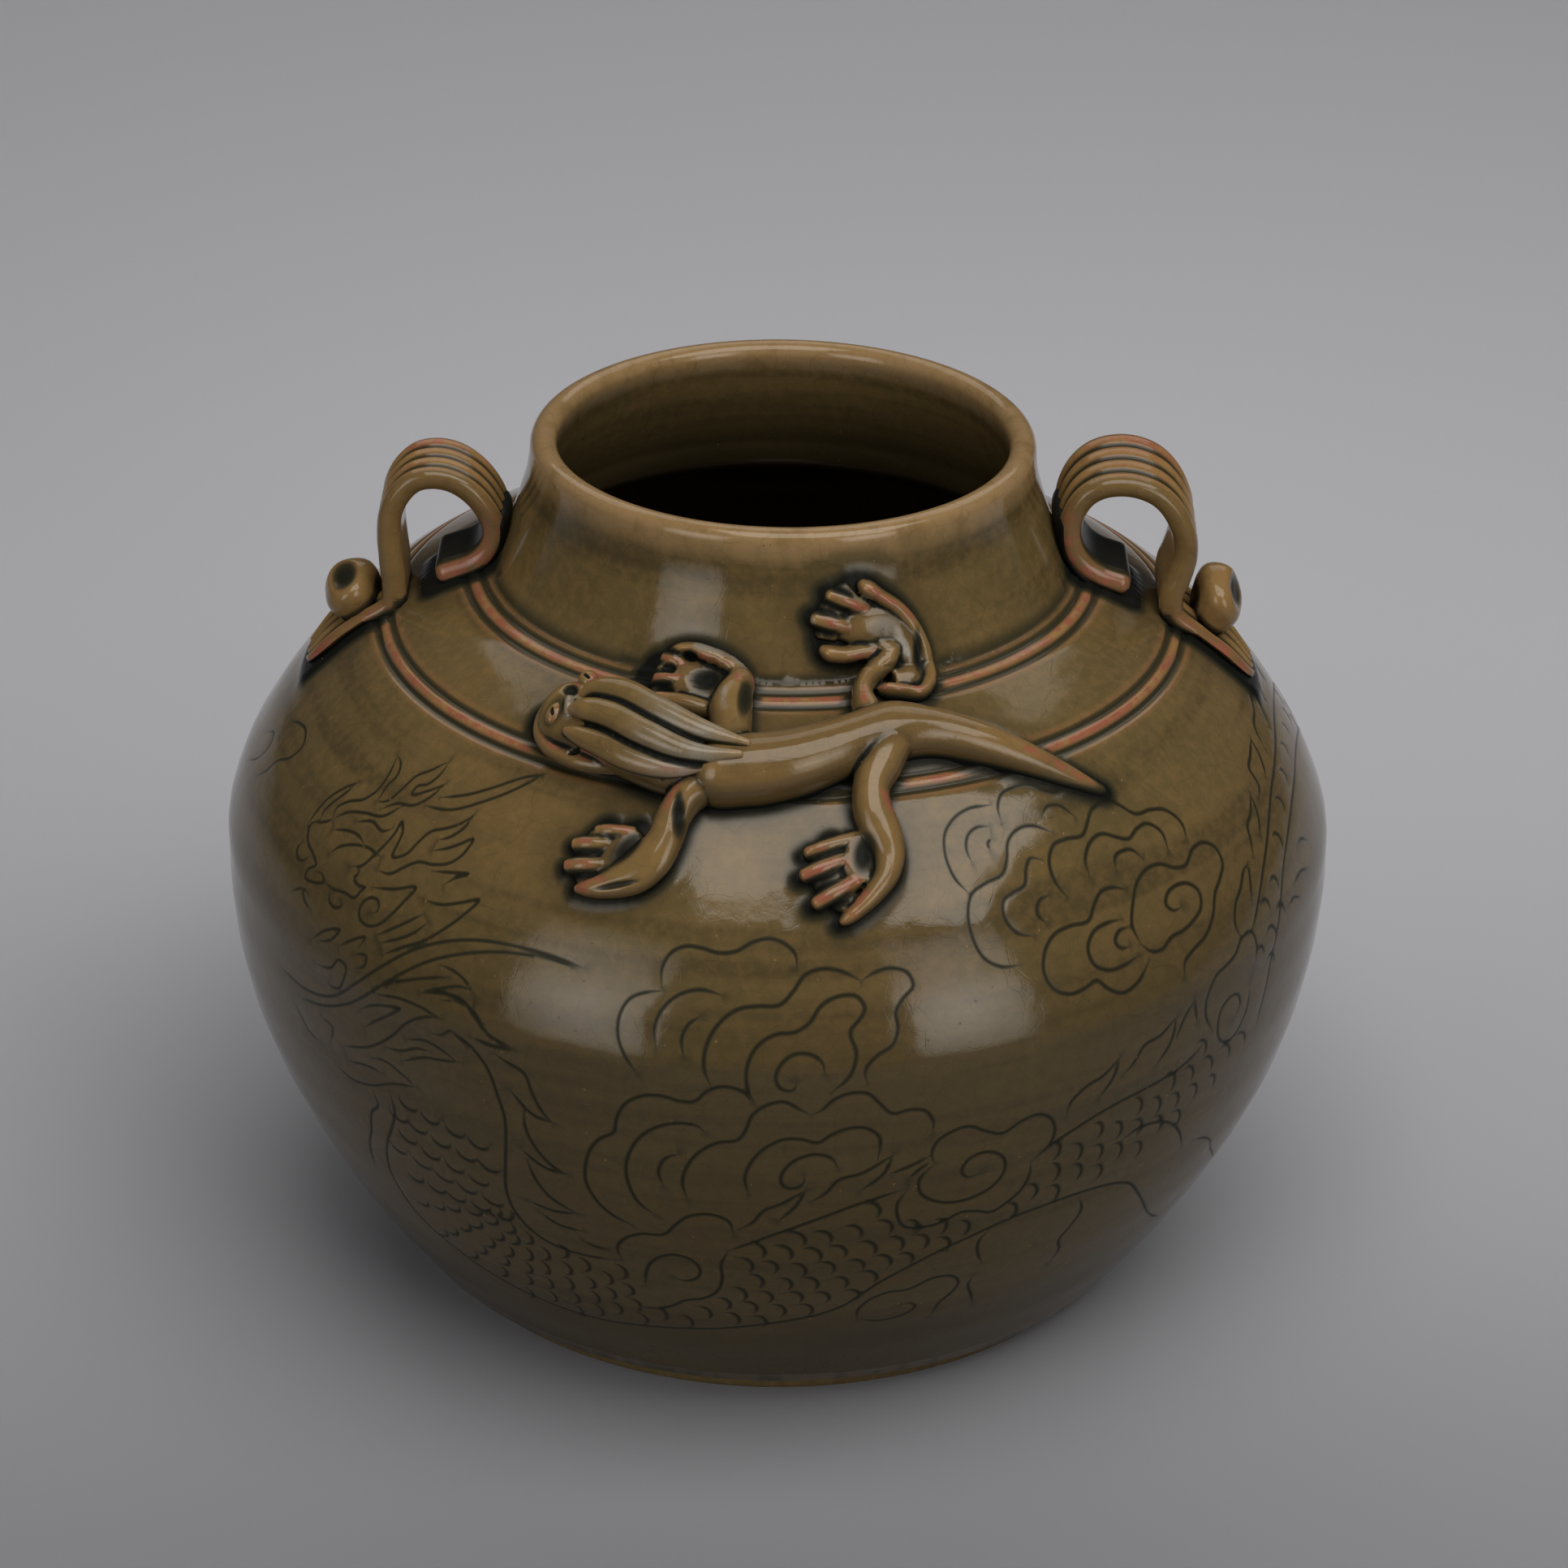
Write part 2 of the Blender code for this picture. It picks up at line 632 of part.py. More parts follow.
def ball(name, centre, radius, material):
    """Model a small ball of clay."""
    bm = bmesh.new()
    bmesh.ops.create_icosphere(bm, subdivisions=2, radius=radius)
    bmesh.ops.translate(bm, verts=bm.verts, vec=centre)
    return object_from(name, bm, material)


def strap_path(word):
    """Return one strap's middle line as (radius, height, thickness) rows, from foot tip to curl tip."""
    loop_radius = LOOP_RADII[word]
    loop_z = NECK_BASE_HEIGHT + LOOP_HEIGHTS[word]
    loop_r = float(neck_radius(loop_z)) + STRAP_THICKNESS / 2 + loop_radius
    rows = []
    foot_middle = (FOOT_TIP_STATION + FOOT_BEND_STATION) / 2
    rows.append((*OUTSIDE.lifted(FOOT_TIP_STATION, STRAP_TIP_THICKNESS / 2), STRAP_TIP_THICKNESS))
    for station in (foot_middle, FOOT_BEND_STATION):
        rows.append((*OUTSIDE.lifted(station, STRAP_FOOT_THICKNESS / 2), STRAP_FOOT_THICKNESS))
    riser_z = OUTSIDE.lifted(FOOT_BEND_STATION, RISER_LIFT)[1]
    rows.append((loop_r + loop_radius, riser_z, STRAP_THICKNESS))
    for angle in np.radians(LOOP_ANGLES):
        rows.append((*(np.array((loop_r, loop_z)) + polar(loop_radius, angle)), STRAP_THICKNESS))
    for station, lift in CURL:
        rows.append((*OUTSIDE.lifted(station, lift), STRAP_THICKNESS))
    return np.array(rows)


def strap_section(thickness, extra):
    """Return the strap's cross-section as (across, outward) points, with rolled ridges outside."""
    edge = STRAP_WIDTH / 2 + extra
    half = thickness / 2 + extra
    bevel = STRAP_BEVEL_SHARE * thickness
    groove = min(STRAP_GROOVE, bevel)
    ridge = STRAP_WIDTH / STRAP_RIDGES
    points = [(-edge, bevel - half), (-edge, half - groove)]
    for k in range(STRAP_RIDGES):
        left = ridge * k - STRAP_WIDTH / 2
        for share in RIDGE_SHARES:
            points.append((left + ridge * share, half - groove + groove * math.sin(math.pi * share) ** 0.5))
        points.append((left + ridge, half - groove))
    points[-1] = (edge, half - groove)
    points.extend(((edge, bevel - half), (edge - bevel, -half), (bevel - edge, -half)))
    return points


def strap(name, word, material, extra=0.0):
    """Model the strap handle on the left, at -X, or on the right, at +X."""
    side = SIDES[word]
    keys = strap_path(word)
    rows = smooth_rows(keys, lengths_along(keys[:, :2]), STRAP_RINGS)
    steps = np.gradient(rows[:, :2], axis=0)
    steps = steps / np.linalg.norm(steps, axis=1)[:, None]
    outward = turned_right(steps)
    rings = []
    for k, (radius, height, thickness) in enumerate(rows):
        overshoot = extra * ((k == len(rows) - 1) - (k == 0))
        middle = np.array((radius, height)) + steps[k] * overshoot
        ring = []
        for across, out in strap_section(thickness, extra):
            level, up = middle + outward[k] * out
            ring.append(Vector((side * level, across, up)))
        rings.append(ring)
    bm = bmesh.new()
    skin(bm, rings)
    return object_from(name, bm, material)


def handle(word, core, clay, thin):
    """Model one strap handle and the pellet pressed into its crook."""
    piece = strap(f"handle_{word}", word, thin)
    combine(piece, [core], "DIFFERENCE")
    around = strap("strap_room", word, thin, GAP)
    radius, height = OUTSIDE.lifted(PELLET_STATION, PELLET_LIFT)
    centre = Vector((SIDES[word] * radius, 0.0, height))
    pellet = ball(f"pellet_{word}", centre, PELLET_RADIUS, clay)
    combine(pellet, [around, core], "DIFFERENCE")
    discard([around])


def dragon(core, clay, thin):
    """Model the crawling dragon on the front of the shoulder, piece by piece."""
    torso_room = roll("torso_room", TORSO, BODY_SIDES, clay, GAP)
    head_room = roll("head_room", HEAD, BODY_SIDES, clay, GAP)
    torso = roll("dragon_torso", TORSO, BODY_SIDES, clay)
    combine(torso, [core], "DIFFERENCE")
    head = roll("dragon_head", HEAD, BODY_SIDES, clay)
    combine(head, [core, torso_room], "DIFFERENCE")
    for name, place in EYES.items():
        centre = OUTSIDE.place(*(value * RELIEF_UNIT for value in place))
        eye = ball(name, centre, EYE_RADIUS, thin)
        combine(eye, [head_room], "DIFFERENCE")
    rooms = [torso_room, head_room]
    for name, keys in MANE.items():
        lock = roll(name, keys, LIMB_SIDES, clay)
        combine(lock, rooms, "DIFFERENCE")
        rooms.append(roll("mane_room", keys, LIMB_SIDES, clay, GAP))
    limb("dragon_foreleg_upper", FORELEG_UPPER, (), [core, *rooms], thin)
    limb("dragon_foreleg_lower", FORELEG_LOWER, (), [core, *rooms], thin)
    limb("dragon_hindleg_upper", HINDLEG_UPPER, (HEEL_ROLL,), [core, torso_room], thin)
    limb("dragon_hindleg_lower", HINDLEG_LOWER, (), [core, torso_room], thin)
    discard(rooms)


def build():
    """Build the whole jar."""
    clear_scene()
    clay = make_material("celadon_glaze", GLAZE)
    thin = make_material("celadon_glaze_thin", GLAZE_THIN)
    lower_body(clay)
    upper_body(clay)
    neck_collar(clay)
    core = vessel_core(clay)
    for word in SIDES:
        handle(word, core, clay, thin)
    dragon(core, clay, thin)
    discard([core])
    for piece in bpy.data.objects:
        piece.data.shade_smooth()
        piece.data.set_sharp_from_angle(angle=SMOOTH_ANGLE)


build()
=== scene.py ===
"""Looks of the celadon jar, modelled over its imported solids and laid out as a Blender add-on.

The jar is one glazed skin: a thrown wall that is spun from its profile, and a drawing of a dragon
among clouds that is cut into it. A crawling dragon in relief and two ribbed strap handles are
luted on. Every length is in metres, +Z is up and the front faces -Y.

The outside is addressed as in the solids. An azimuth is measured from the front, in degrees and
positive to the right. A station is the length along the outer profile from the neck's base, and is
positive down the shoulder. A lift is the height above that place, square to the surface.
"""

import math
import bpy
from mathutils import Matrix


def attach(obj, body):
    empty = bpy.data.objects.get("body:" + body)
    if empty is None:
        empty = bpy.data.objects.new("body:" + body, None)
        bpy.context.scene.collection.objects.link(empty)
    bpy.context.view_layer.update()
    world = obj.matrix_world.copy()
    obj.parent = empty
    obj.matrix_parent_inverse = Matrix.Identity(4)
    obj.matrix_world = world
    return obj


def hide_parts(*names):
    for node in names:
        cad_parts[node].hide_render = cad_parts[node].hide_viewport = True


bl_info = {
    "name": "Celadon Jar",
    "version": (1, 0, 0),
    "blender": (4, 5, 0),
    "location": "3D View > Sidebar > Celadon Jar",
    "description": "Throws, carves, decorates and glazes a celadon jar",
    "category": "Object",
}

import bpy
import numpy as np
from mathutils import Quaternion, Vector, kdtree
from mathutils.geometry import delaunay_2d_cdt

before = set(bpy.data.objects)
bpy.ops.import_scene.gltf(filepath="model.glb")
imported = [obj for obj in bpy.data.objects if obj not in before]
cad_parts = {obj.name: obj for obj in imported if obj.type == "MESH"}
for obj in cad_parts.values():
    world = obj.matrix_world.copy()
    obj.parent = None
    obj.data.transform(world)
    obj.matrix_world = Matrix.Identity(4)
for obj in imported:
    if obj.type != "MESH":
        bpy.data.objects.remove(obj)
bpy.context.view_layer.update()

MM = 0.001

# Driving sizes of the vessel, the same as in the solids.
JAR_HEIGHT = 0.180
BELLY_RADIUS = 0.115
BELLY_HEIGHT = 0.0954
BODY_START_RADIUS = 0.0829
BODY_START_HEIGHT = 0.006
NECK_BASE_RADIUS = 0.0588
NECK_BASE_HEIGHT = 0.1526
MOUTH_RADIUS = 0.0510
WALL = 0.006
LIP_THICKNESS = 0.0054
FOOT_SLOPE = math.radians(53.2)
SHOULDER_SLOPE = math.radians(20.6)
FOOT_PULL = 0.060
BELLY_PULL_BELOW = 0.0096
BELLY_PULL_ABOVE = 0.0083
SHOULDER_PULL = 0.0464
NECK_POWER = 1.5
FOOT_RADIUS = 0.0775
FOOT_RING_WIDTH = 0.0075
FOOT_BEVEL = 0.0008
FOOT_COVE = 0.0016
BASE_RECESS = 0.0045
FLOOR_HEIGHT = 0.0108
FLOOR_FILLET = 0.010
RELIEF_STATION = 0.020

# The skin of the vessel: its steps round the axis, and how many mm of the flat sheet make a degree.
TURN_STEPS = 288
SHEET_SCALE = 2.0
HALF_TURN = 180.0 * SHEET_SCALE
# The outer profile: its samples, and the length over which its corners are blended.
LINE_SAMPLES = 1600
LEAN_BLEND = 0.005
# The search for the place under a point: its step, how far from the wall the point may lie, and how
# many points are looked up at once.
ADDRESS_STEP = 0.0005
ADDRESS_REACH = 0.016
CHUNK = 2000
# How far apart the points of the sheet lie, in mm: on the plain wall, and within a reach of what is
# luted on. Then the least gap between points on its edges, the rings, the lines and their shade.
PLAIN_SPACING = 3.0
CLOSE_SPACING = 0.95
CLOSE_REACH = 6.5
EDGE_GAP = 0.1
RING_GAP = 0.3
LINE_GAP = 0.36
SHADE_GAP = 1.2
# Where points are laid so close, on the flat sheet in mm: half the width and the lower edge of the
# front, then half the width, the upper and the lower edge round each handle.
FRONT_PATCH = (110.0, 66.0)
HANDLE_PATCH = (28.0, -6.0, 56.0)
# From which station to which each strap touches the wall, in mm, by its curl and by its foot.
STRAP_CONTACTS = ((1.0, 14.5), (26.0, 46.0))
FOOTPRINT_STEP = 1.5

# Two turned rings on the shoulder, each two grooves beside a thin ridge.
RING_STATIONS = (0.0047, 0.0255)
RING_ROWS = (-4.2, -3.4, -2.9, -2.4, -1.8, -1.3, -0.8, -0.35, 0.35, 0.8, 1.3, 1.8, 2.4, 2.9, 3.4, 4.2)
RING_DEPTHS = (0.0, 0.0, 0.06, 0.34, 0.6, 0.48, 0.12, 0.0, 0.0, 0.12, 0.48, 0.6, 0.34, 0.06, 0.0, 0.0)

# The knife's line, in mm: half its width, its depth, how far apart its points lie, how long its ends
# run out and how far its soft shade reaches. Light sees only a share of its relief.
LINE_HALF_WIDTH = 0.74
LINE_DEPTH = 0.15
LINE_SPACING = 0.9
LINE_TAPER = 3.5
SHADE_REACH = 2.6
LINE_RELIEF_SHARE = 0.3

# Towards the foot the wall is painted darker as shade, and its glaze loses its shine: from which station
# and over how many mm.
BELLY_SHADE = (48.0, 35.0)
LOW_SHADE = (108.0, 50.0)
DULLING = (84.0, 45.0)
# The station of a turned mark under the lip, in mm, and how milky the lip is, partly as a painted highlight.
NECK_BAND = -19.5
LIP_PEARL = 0.14
# How much glaze gathers in the lines, in the rings and at the neck's base, and how far in mm the dark
# band of pooled glaze and painted shadow reaches round what is luted on.
LINE_POOL = 0.74
RING_POOL = 0.52
NECK_POOL = 0.5
HALO_REACH = 3.2

# Slip and glaze round off the joint between the wall and what is luted on: how high and how far.
FILLET_HEIGHT = 0.8
FILLET_REACH = 3.6

# Scales of the dragon that is carved round the belly, in mm, and how far the hand strays with each.
SCALE_HALF_WIDTH = 2.6
SCALE_SAG = 2.3
SCALE_ROW = 4.9
SCALE_STEP = 5.9
SCALE_DRIFT = 0.35
# Middle of the carved body: azimuth, station and half width, from its shoulder to its tail.
CARVED_BODY = (
    (-33.8, 101, 13), (-35.3, 118, 14.7), (-36, 128, 16), (-32, 140, 16.5), (-20, 145.5, 12.7),
    (-8, 142, 13.2), (4.1, 132, 14.5), (13.9, 119, 11.7), (23.5, 114, 9), (33, 110.5, 10), (45, 104, 9.8),
    (52, 96, 9), (57.5, 85, 5.4), (62.5, 71.5, 4.6), (70, 63.2, 4.2), (80, 58.6, 4), (90, 59.6, 4.4),
    (99, 66.5, 4.6), (107, 74.5, 3),
)
# Where a cloud lies over the carved body: azimuth, station, and half its size each way.
CLOUD_COVERS = (
    (20, 107.5, 8, 12.5), (51.8, 88.5, 5, 12), (-9.8, 131.5, 6.4, 17.5), (27.5, 131, 4, 9),
)

# Strap handles: the side and width of each, and for both the thickness above the foot, at the foot
# and at its tip, the ribs with the depth of their grooves, the rows that they are built of, and the
# stations of the foot from its tip up.
SIDES = {"left": -1, "right": 1}
STRAP_WIDTHS = {"left": 0.0178, "right": 0.0196}
STRAP_THICKNESS = 0.0048
STRAP_FOOT_THICKNESS = 0.0026
STRAP_TIP_THICKNESS = 0.0016
STRAP_RIDGES = 4
STRAP_GROOVE = 0.0008
STRAP_STEPS = 130
FOOT_STATIONS = (0.0450, 0.0375, 0.0300)
# How much higher the far edge of each strap stands at the top of its loop.
STRAP_LEANS = {"left": 0.0008, "right": 0.0032}
# The middle line of each strap above its foot, as radius and height in mm, up the riser, over the
# loop and down into the curl.
STRAP_LINES = {
    "left": (
        (79.2, 143.6), (78.9, 147.4), (79.3, 152.6), (79.6, 158.2), (79, 163.4), (77.3, 167.1), (74.1, 170.2),
        (70.4, 171), (66.8, 170.4), (63.1, 168.2), (60.4, 165.2), (58.7, 161.8), (58.4, 158.8), (59.6, 155.6),
        (62.4, 152.9), (66.2, 151.3), (70, 150),
    ),
    "right": (
        (79.6, 144.2), (79.5, 147.9), (80.8, 151.8), (81.8, 156.5), (81.5, 160.3), (80.1, 164), (78.4, 166.8),
        (76.1, 169.1), (73, 170.8), (70, 171.6), (67.1, 171.7), (64.1, 171.1), (61.5, 169.6), (59.4, 167),
        (58.3, 163.8), (58.3, 160.4), (59.4, 157.2), (61.4, 154.6), (64.3, 152.5), (67.5, 151.2),
        (70.6, 150.3),
    ),
}
# The glaze that fills the gap between curl and neck, in the same way. Then its thickness, how much
# narrower than the strap it is on each side, its rows and the points of each.
SLIP_LINES = {
    "left": (
        (56.6, 163), (56.8, 159.4), (57.7, 156), (60.2, 152.6), (64.2, 149.8), (67.8, 148), (70.6, 146.4),
    ),
    "right": (
        (56.4, 165.2), (56.7, 161), (57.4, 157.4), (59.8, 153.4), (64, 150.2), (68, 148.2), (71, 146.4),
    ),
}
SLIP_THICKNESS = 0.0036
SLIP_MARGIN = 0.0004
SLIP_STEPS = 40
SLIP_SIDES = 24
# Each pressed pellet: radius and height of its middle, its half sizes, and where it is dented.
PELLETS = {
    "left": ((87.8, 143.2), (5.9, 7.8, 6.5), (0.35, -0.45, 0.82)),
    "right": ((89.4, 144.2), (5.2, 8, 7.5), (0.86, -0.30, 0.42)),
}
DENT_DEPTH = 0.0012

# Relief and handles: corners up to this angle are shaded as one curve, and how much paler they are.
RELIEF_SMOOTHING = math.radians(75.0)
RELIEF_PALENESS = 0.12

# The relief dragon: rightward, station, lift, half width and half height of its rolls, in mm.
TORSO = (
    (-16.8, 24.6, 3, 2, 2), (-13.4, 24.4, 3, 5.6, 5.6), (-6, 23.4, 3.2, 7, 6.6), (2, 21.8, 3.2, 6.6, 6.4),
    (9.4, 19.3, 3, 6, 6), (16.1, 17, 2.8, 5.7, 5.6), (22.6, 15.6, 2.6, 6, 5.4), (30.1, 16.6, 2.2, 4.9, 4.6),
    (38.6, 20.6, 1.8, 4.2, 4), (46.4, 26.4, 1.4, 3.2, 3), (52.5, 32.2, 1, 2.2, 2),
    (57.8, 37.8, 0.5, 0.9, 0.9),
)
HEAD = (
    (-12.1, 24.2, 3, 4.6, 4.6), (-18.1, 24.2, 3.2, 5.4, 5.2), (-25.5, 22.6, 3.4, 5.6, 5.2),
    (-32.3, 19.6, 3.4, 7, 5.4), (-38.3, 17.6, 3.2, 7.9, 5.2), (-42.6, 17.8, 3, 7.4, 4.8),
    (-45.6, 18.3, 2.6, 6.2, 4), (-47.2, 18.6, 2.2, 3.6, 2.6),
)
# Each eye: rightward, station, lift, half its size along, down and out, and the turn of its slit.
EYES = {
    "dragon_eye_lower": (-43.2, 20, 6.2, 1.7, 2.7, 1.6, 40),
    "dragon_eye_upper": (-40.9, 11.3, 6.3, 2, 2, 1.8, 20),
}
MANE = {
    "dragon_mane_upper": (
        (-39.6, 15.6, 7.6, 0.9, 1), (-36.6, 14.4, 8.6, 2.2, 2.2), (-31.6, 14, 9.2, 2.9, 2.6),
        (-23.5, 16.4, 9.8, 2.9, 2.6), (-14.1, 19.4, 9.6, 2.3, 2.2), (-4.8, 21.6, 9.8, 0.7, 0.8),
    ),
    "dragon_mane_middle": (
        (-39.8, 19.2, 8, 0.9, 1), (-36.8, 19, 9, 2.2, 2.2), (-31.6, 19.2, 9.6, 2.8, 2.6),
        (-23.5, 21.7, 9.9, 2.9, 2.6), (-14.1, 24, 9.3, 2.1, 2.2), (-5.9, 23.8, 10, 0.7, 0.8),
    ),
    "dragon_mane_lower": (
        (-39.6, 23, 6.6, 0.9, 1), (-36.4, 23.4, 7.2, 1.9, 2), (-31.6, 24.2, 7.6, 2.5, 2.4),
        (-24.6, 26, 7.6, 2.6, 2.4), (-18, 26.8, 7.6, 1.9, 1.9), (-12.6, 26.4, 8.4, 0.6, 0.7),
    ),
}
FORELEG_UPPER = {
    "rolls": (
        ((-8.9, 20, 3.4, 3.8, 3.6), (-9.6, 14, 3, 4.1, 3.8), (-10.2, 10, 3, 4.2, 3.6),
         (-9.9, 6, 2.9, 3.6, 3.4), (-9.2, 2.6, 2.7, 2.8, 3.1), (-10.8, -0.8, 2.4, 2.1, 2.8),
         (-14.6, -3.2, 2.2, 1.7, 2.5), (-18.6, -4.3, 2, 1.6, 2.3), (-22.4, -4.9, 1.8, 1.3, 1.9),
         (-26, -4.4, 1.6, 1.1, 1.6), (-28.2, -3.4, 1.3, 0.7, 0.9)),
        ((-12.5, 2.6, 1.4, 3.6, 2.3), (-17, 2.8, 1.2, 5, 2.3), (-22, 2.8, 1.2, 5.4, 2.2),
         (-26.5, 2.6, 1.1, 5.2, 2), (-29.6, 2.6, 0.8, 4.2, 1.7), (-30.4, 2.6, 0.5, 2.6, 1)),
        ((-14.6, 9.6, 1.4, 1.7, 1.7), (-19, 9.1, 1.6, 1.9, 2), (-24, 8.8, 1.6, 1.8, 2),
         (-27.6, 8.8, 1.4, 1.4, 1.7), (-28.8, 8.8, 1.2, 0.7, 0.9)),
    ),
    "toes": (((-22.5, -1.3), (-29.7, -1.9), 1.5), ((-21.5, 3.2), (-29.8, 4.2), 1.45)),
}
FORELEG_LOWER = {
    "rolls": (
        ((-11.6, 25.4, 3.4, 4.4, 4), (-15.2, 30, 3.1, 3.4, 3.8), (-16.8, 34, 2.7, 3.4, 3.3),
         (-17.4, 38, 2.4, 3.5, 3), (-18.8, 42, 2.2, 4.1, 2.9), (-21.4, 45.8, 2, 4, 2.7),
         (-24.8, 48.5, 1.8, 2.6, 2.2), (-28, 49.8, 1.5, 1.5, 1.7), (-29.5, 50.2, 1.2, 0.7, 0.9)),
        ((-22.4, 37.2, 0.9, 1.6, 1.6), (-23.4, 39.6, 1, 3.4, 1.9), (-24.4, 43.4, 1, 4, 1.9),
         (-25.4, 47.2, 1, 2.6, 1.7)),
        ((-27.2, 38, 0.9, 2, 1.5), (-28.2, 41, 0.9, 2.8, 1.5), (-28.6, 45, 0.9, 3, 1.5),
         (-28, 48.6, 0.8, 1.8, 1.3)),
    ),
    "toes": (((-22.6, 37.5), (-28.9, 38.7), 1.4), ((-25, 40.4), (-31.8, 42.2), 1.6),
             ((-25, 44.4), (-31.9, 46.5), 1.65)),
}
HINDLEG_UPPER = {
    "rolls": (
        ((21.2, 17.4, 3, 3.8, 3.6), (18.6, 11, 2.9, 3, 3.4), (18.6, 6.6, 2.8, 2.1, 3),
         (20.6, 2.8, 2.8, 2.1, 3), (23.8, -0.2, 2.8, 2.2, 3), (26.8, -2.8, 2.8, 2.2, 2.8),
         (28, -5, 2.4, 1.9, 2.4), (25.4, -6, 1.9, 1.7, 2.1)),
        ((21.8, -18.8, 1.2, 0.7, 0.9), (22.8, -18, 1.5, 1.4, 1.8), (27, -15.5, 1.7, 1.5, 2.2),
         (31.8, -12.3, 1.8, 1.7, 2.2), (35.4, -7.8, 1.8, 1.8, 2.3), (37, -3, 1.8, 1.8, 2.3),
         (37, 1.4, 1.7, 1.7, 2.1), (35.6, 5, 1.6, 1.4, 1.8), (32.6, 7, 1.4, 1.2, 1.7),
         (28.4, 6, 1.5, 1.2, 1.7), (24.2, 5, 1.4, 1, 1.5), (23, 4.8, 1.2, 0.5, 0.7)),
        ((15.5, -10.2, 0.7, 2.4, 1.4), (19.4, -10.2, 1.1, 3.6, 2), (24, -9.8, 1.3, 4.4, 2.2),
         (28, -8.6, 1.5, 4.8, 2.3), (32, -6, 1.5, 4.6, 2.4), (33.6, -2, 1.5, 4, 2.4),
         (31.8, 2.2, 1.4, 3.8, 2.2), (27.6, 2.6, 1.3, 3, 2)),
        ((26, -5.7, 1.7, 1.4, 1.9), (20.5, -4.9, 1.7, 1.6, 2.1), (15, -4.7, 1.7, 1.7, 2.2),
         (11.8, -5.6, 1.5, 1.5, 1.9), (10.3, -6.4, 1.2, 0.7, 0.9)),
        ((12, -8, 0.9, 2, 1.5), (13.2, -11.4, 0.9, 2.8, 1.6), (15.6, -14.6, 0.9, 2.8, 1.6),
         (19.8, -17, 0.8, 2.2, 1.4)),
    ),
    "toes": (((20.5, -9.5), (8.2, -12.3), 1.7), ((24.5, -13), (12.4, -16.9), 1.55)),
}
HINDLEG_LOWER = {
    "rolls": (
        ((21.5, 17, 3.2, 5, 4.2), (18.6, 22.4, 3.2, 4.4, 4.2), (16, 27.6, 3, 3.6, 3.9),
         (15.6, 32, 2.8, 3.8, 3.6), (16.5, 36, 2.5, 3.9, 3.2), (17.2, 40, 2.2, 3.2, 2.8),
         (16.5, 43.8, 2, 2.6, 2.6), (14.4, 47.2, 1.8, 2.1, 2.4), (11.8, 50.2, 1.6, 1.6, 2),
         (9.8, 52, 1.4, 1.2, 1.6), (9, 52.7, 1.2, 0.6, 0.8)),
        ((13.8, 36.6, 1.4, 2.2, 2), (12.5, 39.4, 1.2, 3.2, 2), (12.2, 42.6, 1.2, 3.2, 2),
         (13, 45.4, 1.1, 2.2, 1.8)),
        ((8.8, 37.8, 0.9, 2.2, 1.5), (7.8, 41, 0.9, 3, 1.5), (8.2, 45.2, 0.9, 3.2, 1.5),
         (10.4, 49, 0.8, 2.2, 1.4)),
    ),
    "toes": (((13.2, 36.2), (4.2, 39.4), 1.45), ((11.6, 40), (3.5, 43.8), 1.65),
             ((13, 44), (5.2, 49.2), 1.65)),
}
LIMBS = (FORELEG_UPPER, FORELEG_LOWER, HINDLEG_UPPER, HINDLEG_LOWER)
# A toe's rows: share from root to tip, lift, share of its half width, and half height.
TOE_SHAPE = (
    (0, 1, 0.9, 1.3), (0.3, 1.5, 1, 1.7), (0.84, 1.5, 1, 1.7), (0.96, 1.3, 0.8, 1.4), (1, 1.1, 0.4, 0.7),
)
FACE_ROLLS = {
    "face_rim": (
        (-42.6, 12.2, 4.6, 1.4, 1.3), (-45.4, 13.8, 4.2, 1.5, 1.4), (-46.7, 16.6, 3.8, 1.5, 1.5),
        (-46.9, 19.8, 3.4, 1.6, 1.5), (-45.6, 23, 3.1, 1.7, 1.6), (-43, 25, 3, 1.8, 1.7),
        (-38.4, 26.2, 3, 1.9, 1.8), (-32.6, 26.3, 2.9, 1.8, 1.7), (-27.4, 25.8, 2.7, 1.2, 1.3),
    ),
    "tuft": ((-42, 16, 7.4, 0.6, 0.7), (-40.8, 17.8, 8.3, 0.9, 1), (-39.8, 20.4, 7.9, 0.6, 0.7)),
}
# Hollows pressed into the relief: rightward, station, half its size along and across, turn in
# degrees, depth in mm, softness of its edge and how much glaze lies in it.
HOLLOWS = (
    (-22.6, -3.1, 1.9, 1.1, 0, 0.9, 0.8, 1), (-27, 1.1, 1.8, 1.3, 0, 0.9, 0.7, 1),
    (-26.3, 6.6, 2.2, 1.15, 0, 0.9, 0.7, 1), (-16.9, 2.8, 3.5, 3, 0, 0.6, 1.3, 1),
    (-7.2, 8.8, 1.3, 4.2, 0, 0.5, 1.4, 0.7), (-15.5, 34.4, 0.9, 3.6, -6, 0.35, 1.2, 0.85),
    (-22.9, 41.2, 1.6, 3.4, 25, 0.4, 1.3, 0.8), (-22.8, 48.5, 3, 0.5, -24, 0.4, 1, 0.7),
    (34.6, -2.6, 1.1, 4.8, 8, 0.25, 1.4, 0.95), (26.6, -8.8, 3, 2.4, 0, 0.3, 1.4, 0.2),
    (13.2, 40.4, 1.5, 3.2, 10, 0.45, 1.3, 0.9), (-43.2, 19.9, 2.3, 3.5, 0, 0.3, 0.9, 0.3),
    (-42.4, 15, 1.9, 1.2, 30, 0.8, 0.9, 0.95), (-36.6, 25.6, 1.2, 0.45, -35, 0.5, 0.8, 0.9),
    (-19.2, 27.4, 0.5, 1.1, 0, 0.5, 0.8, 0.8),
)
# How thinly the glaze lies on all of the relief.
RELIEF_THINNESS = 0.3

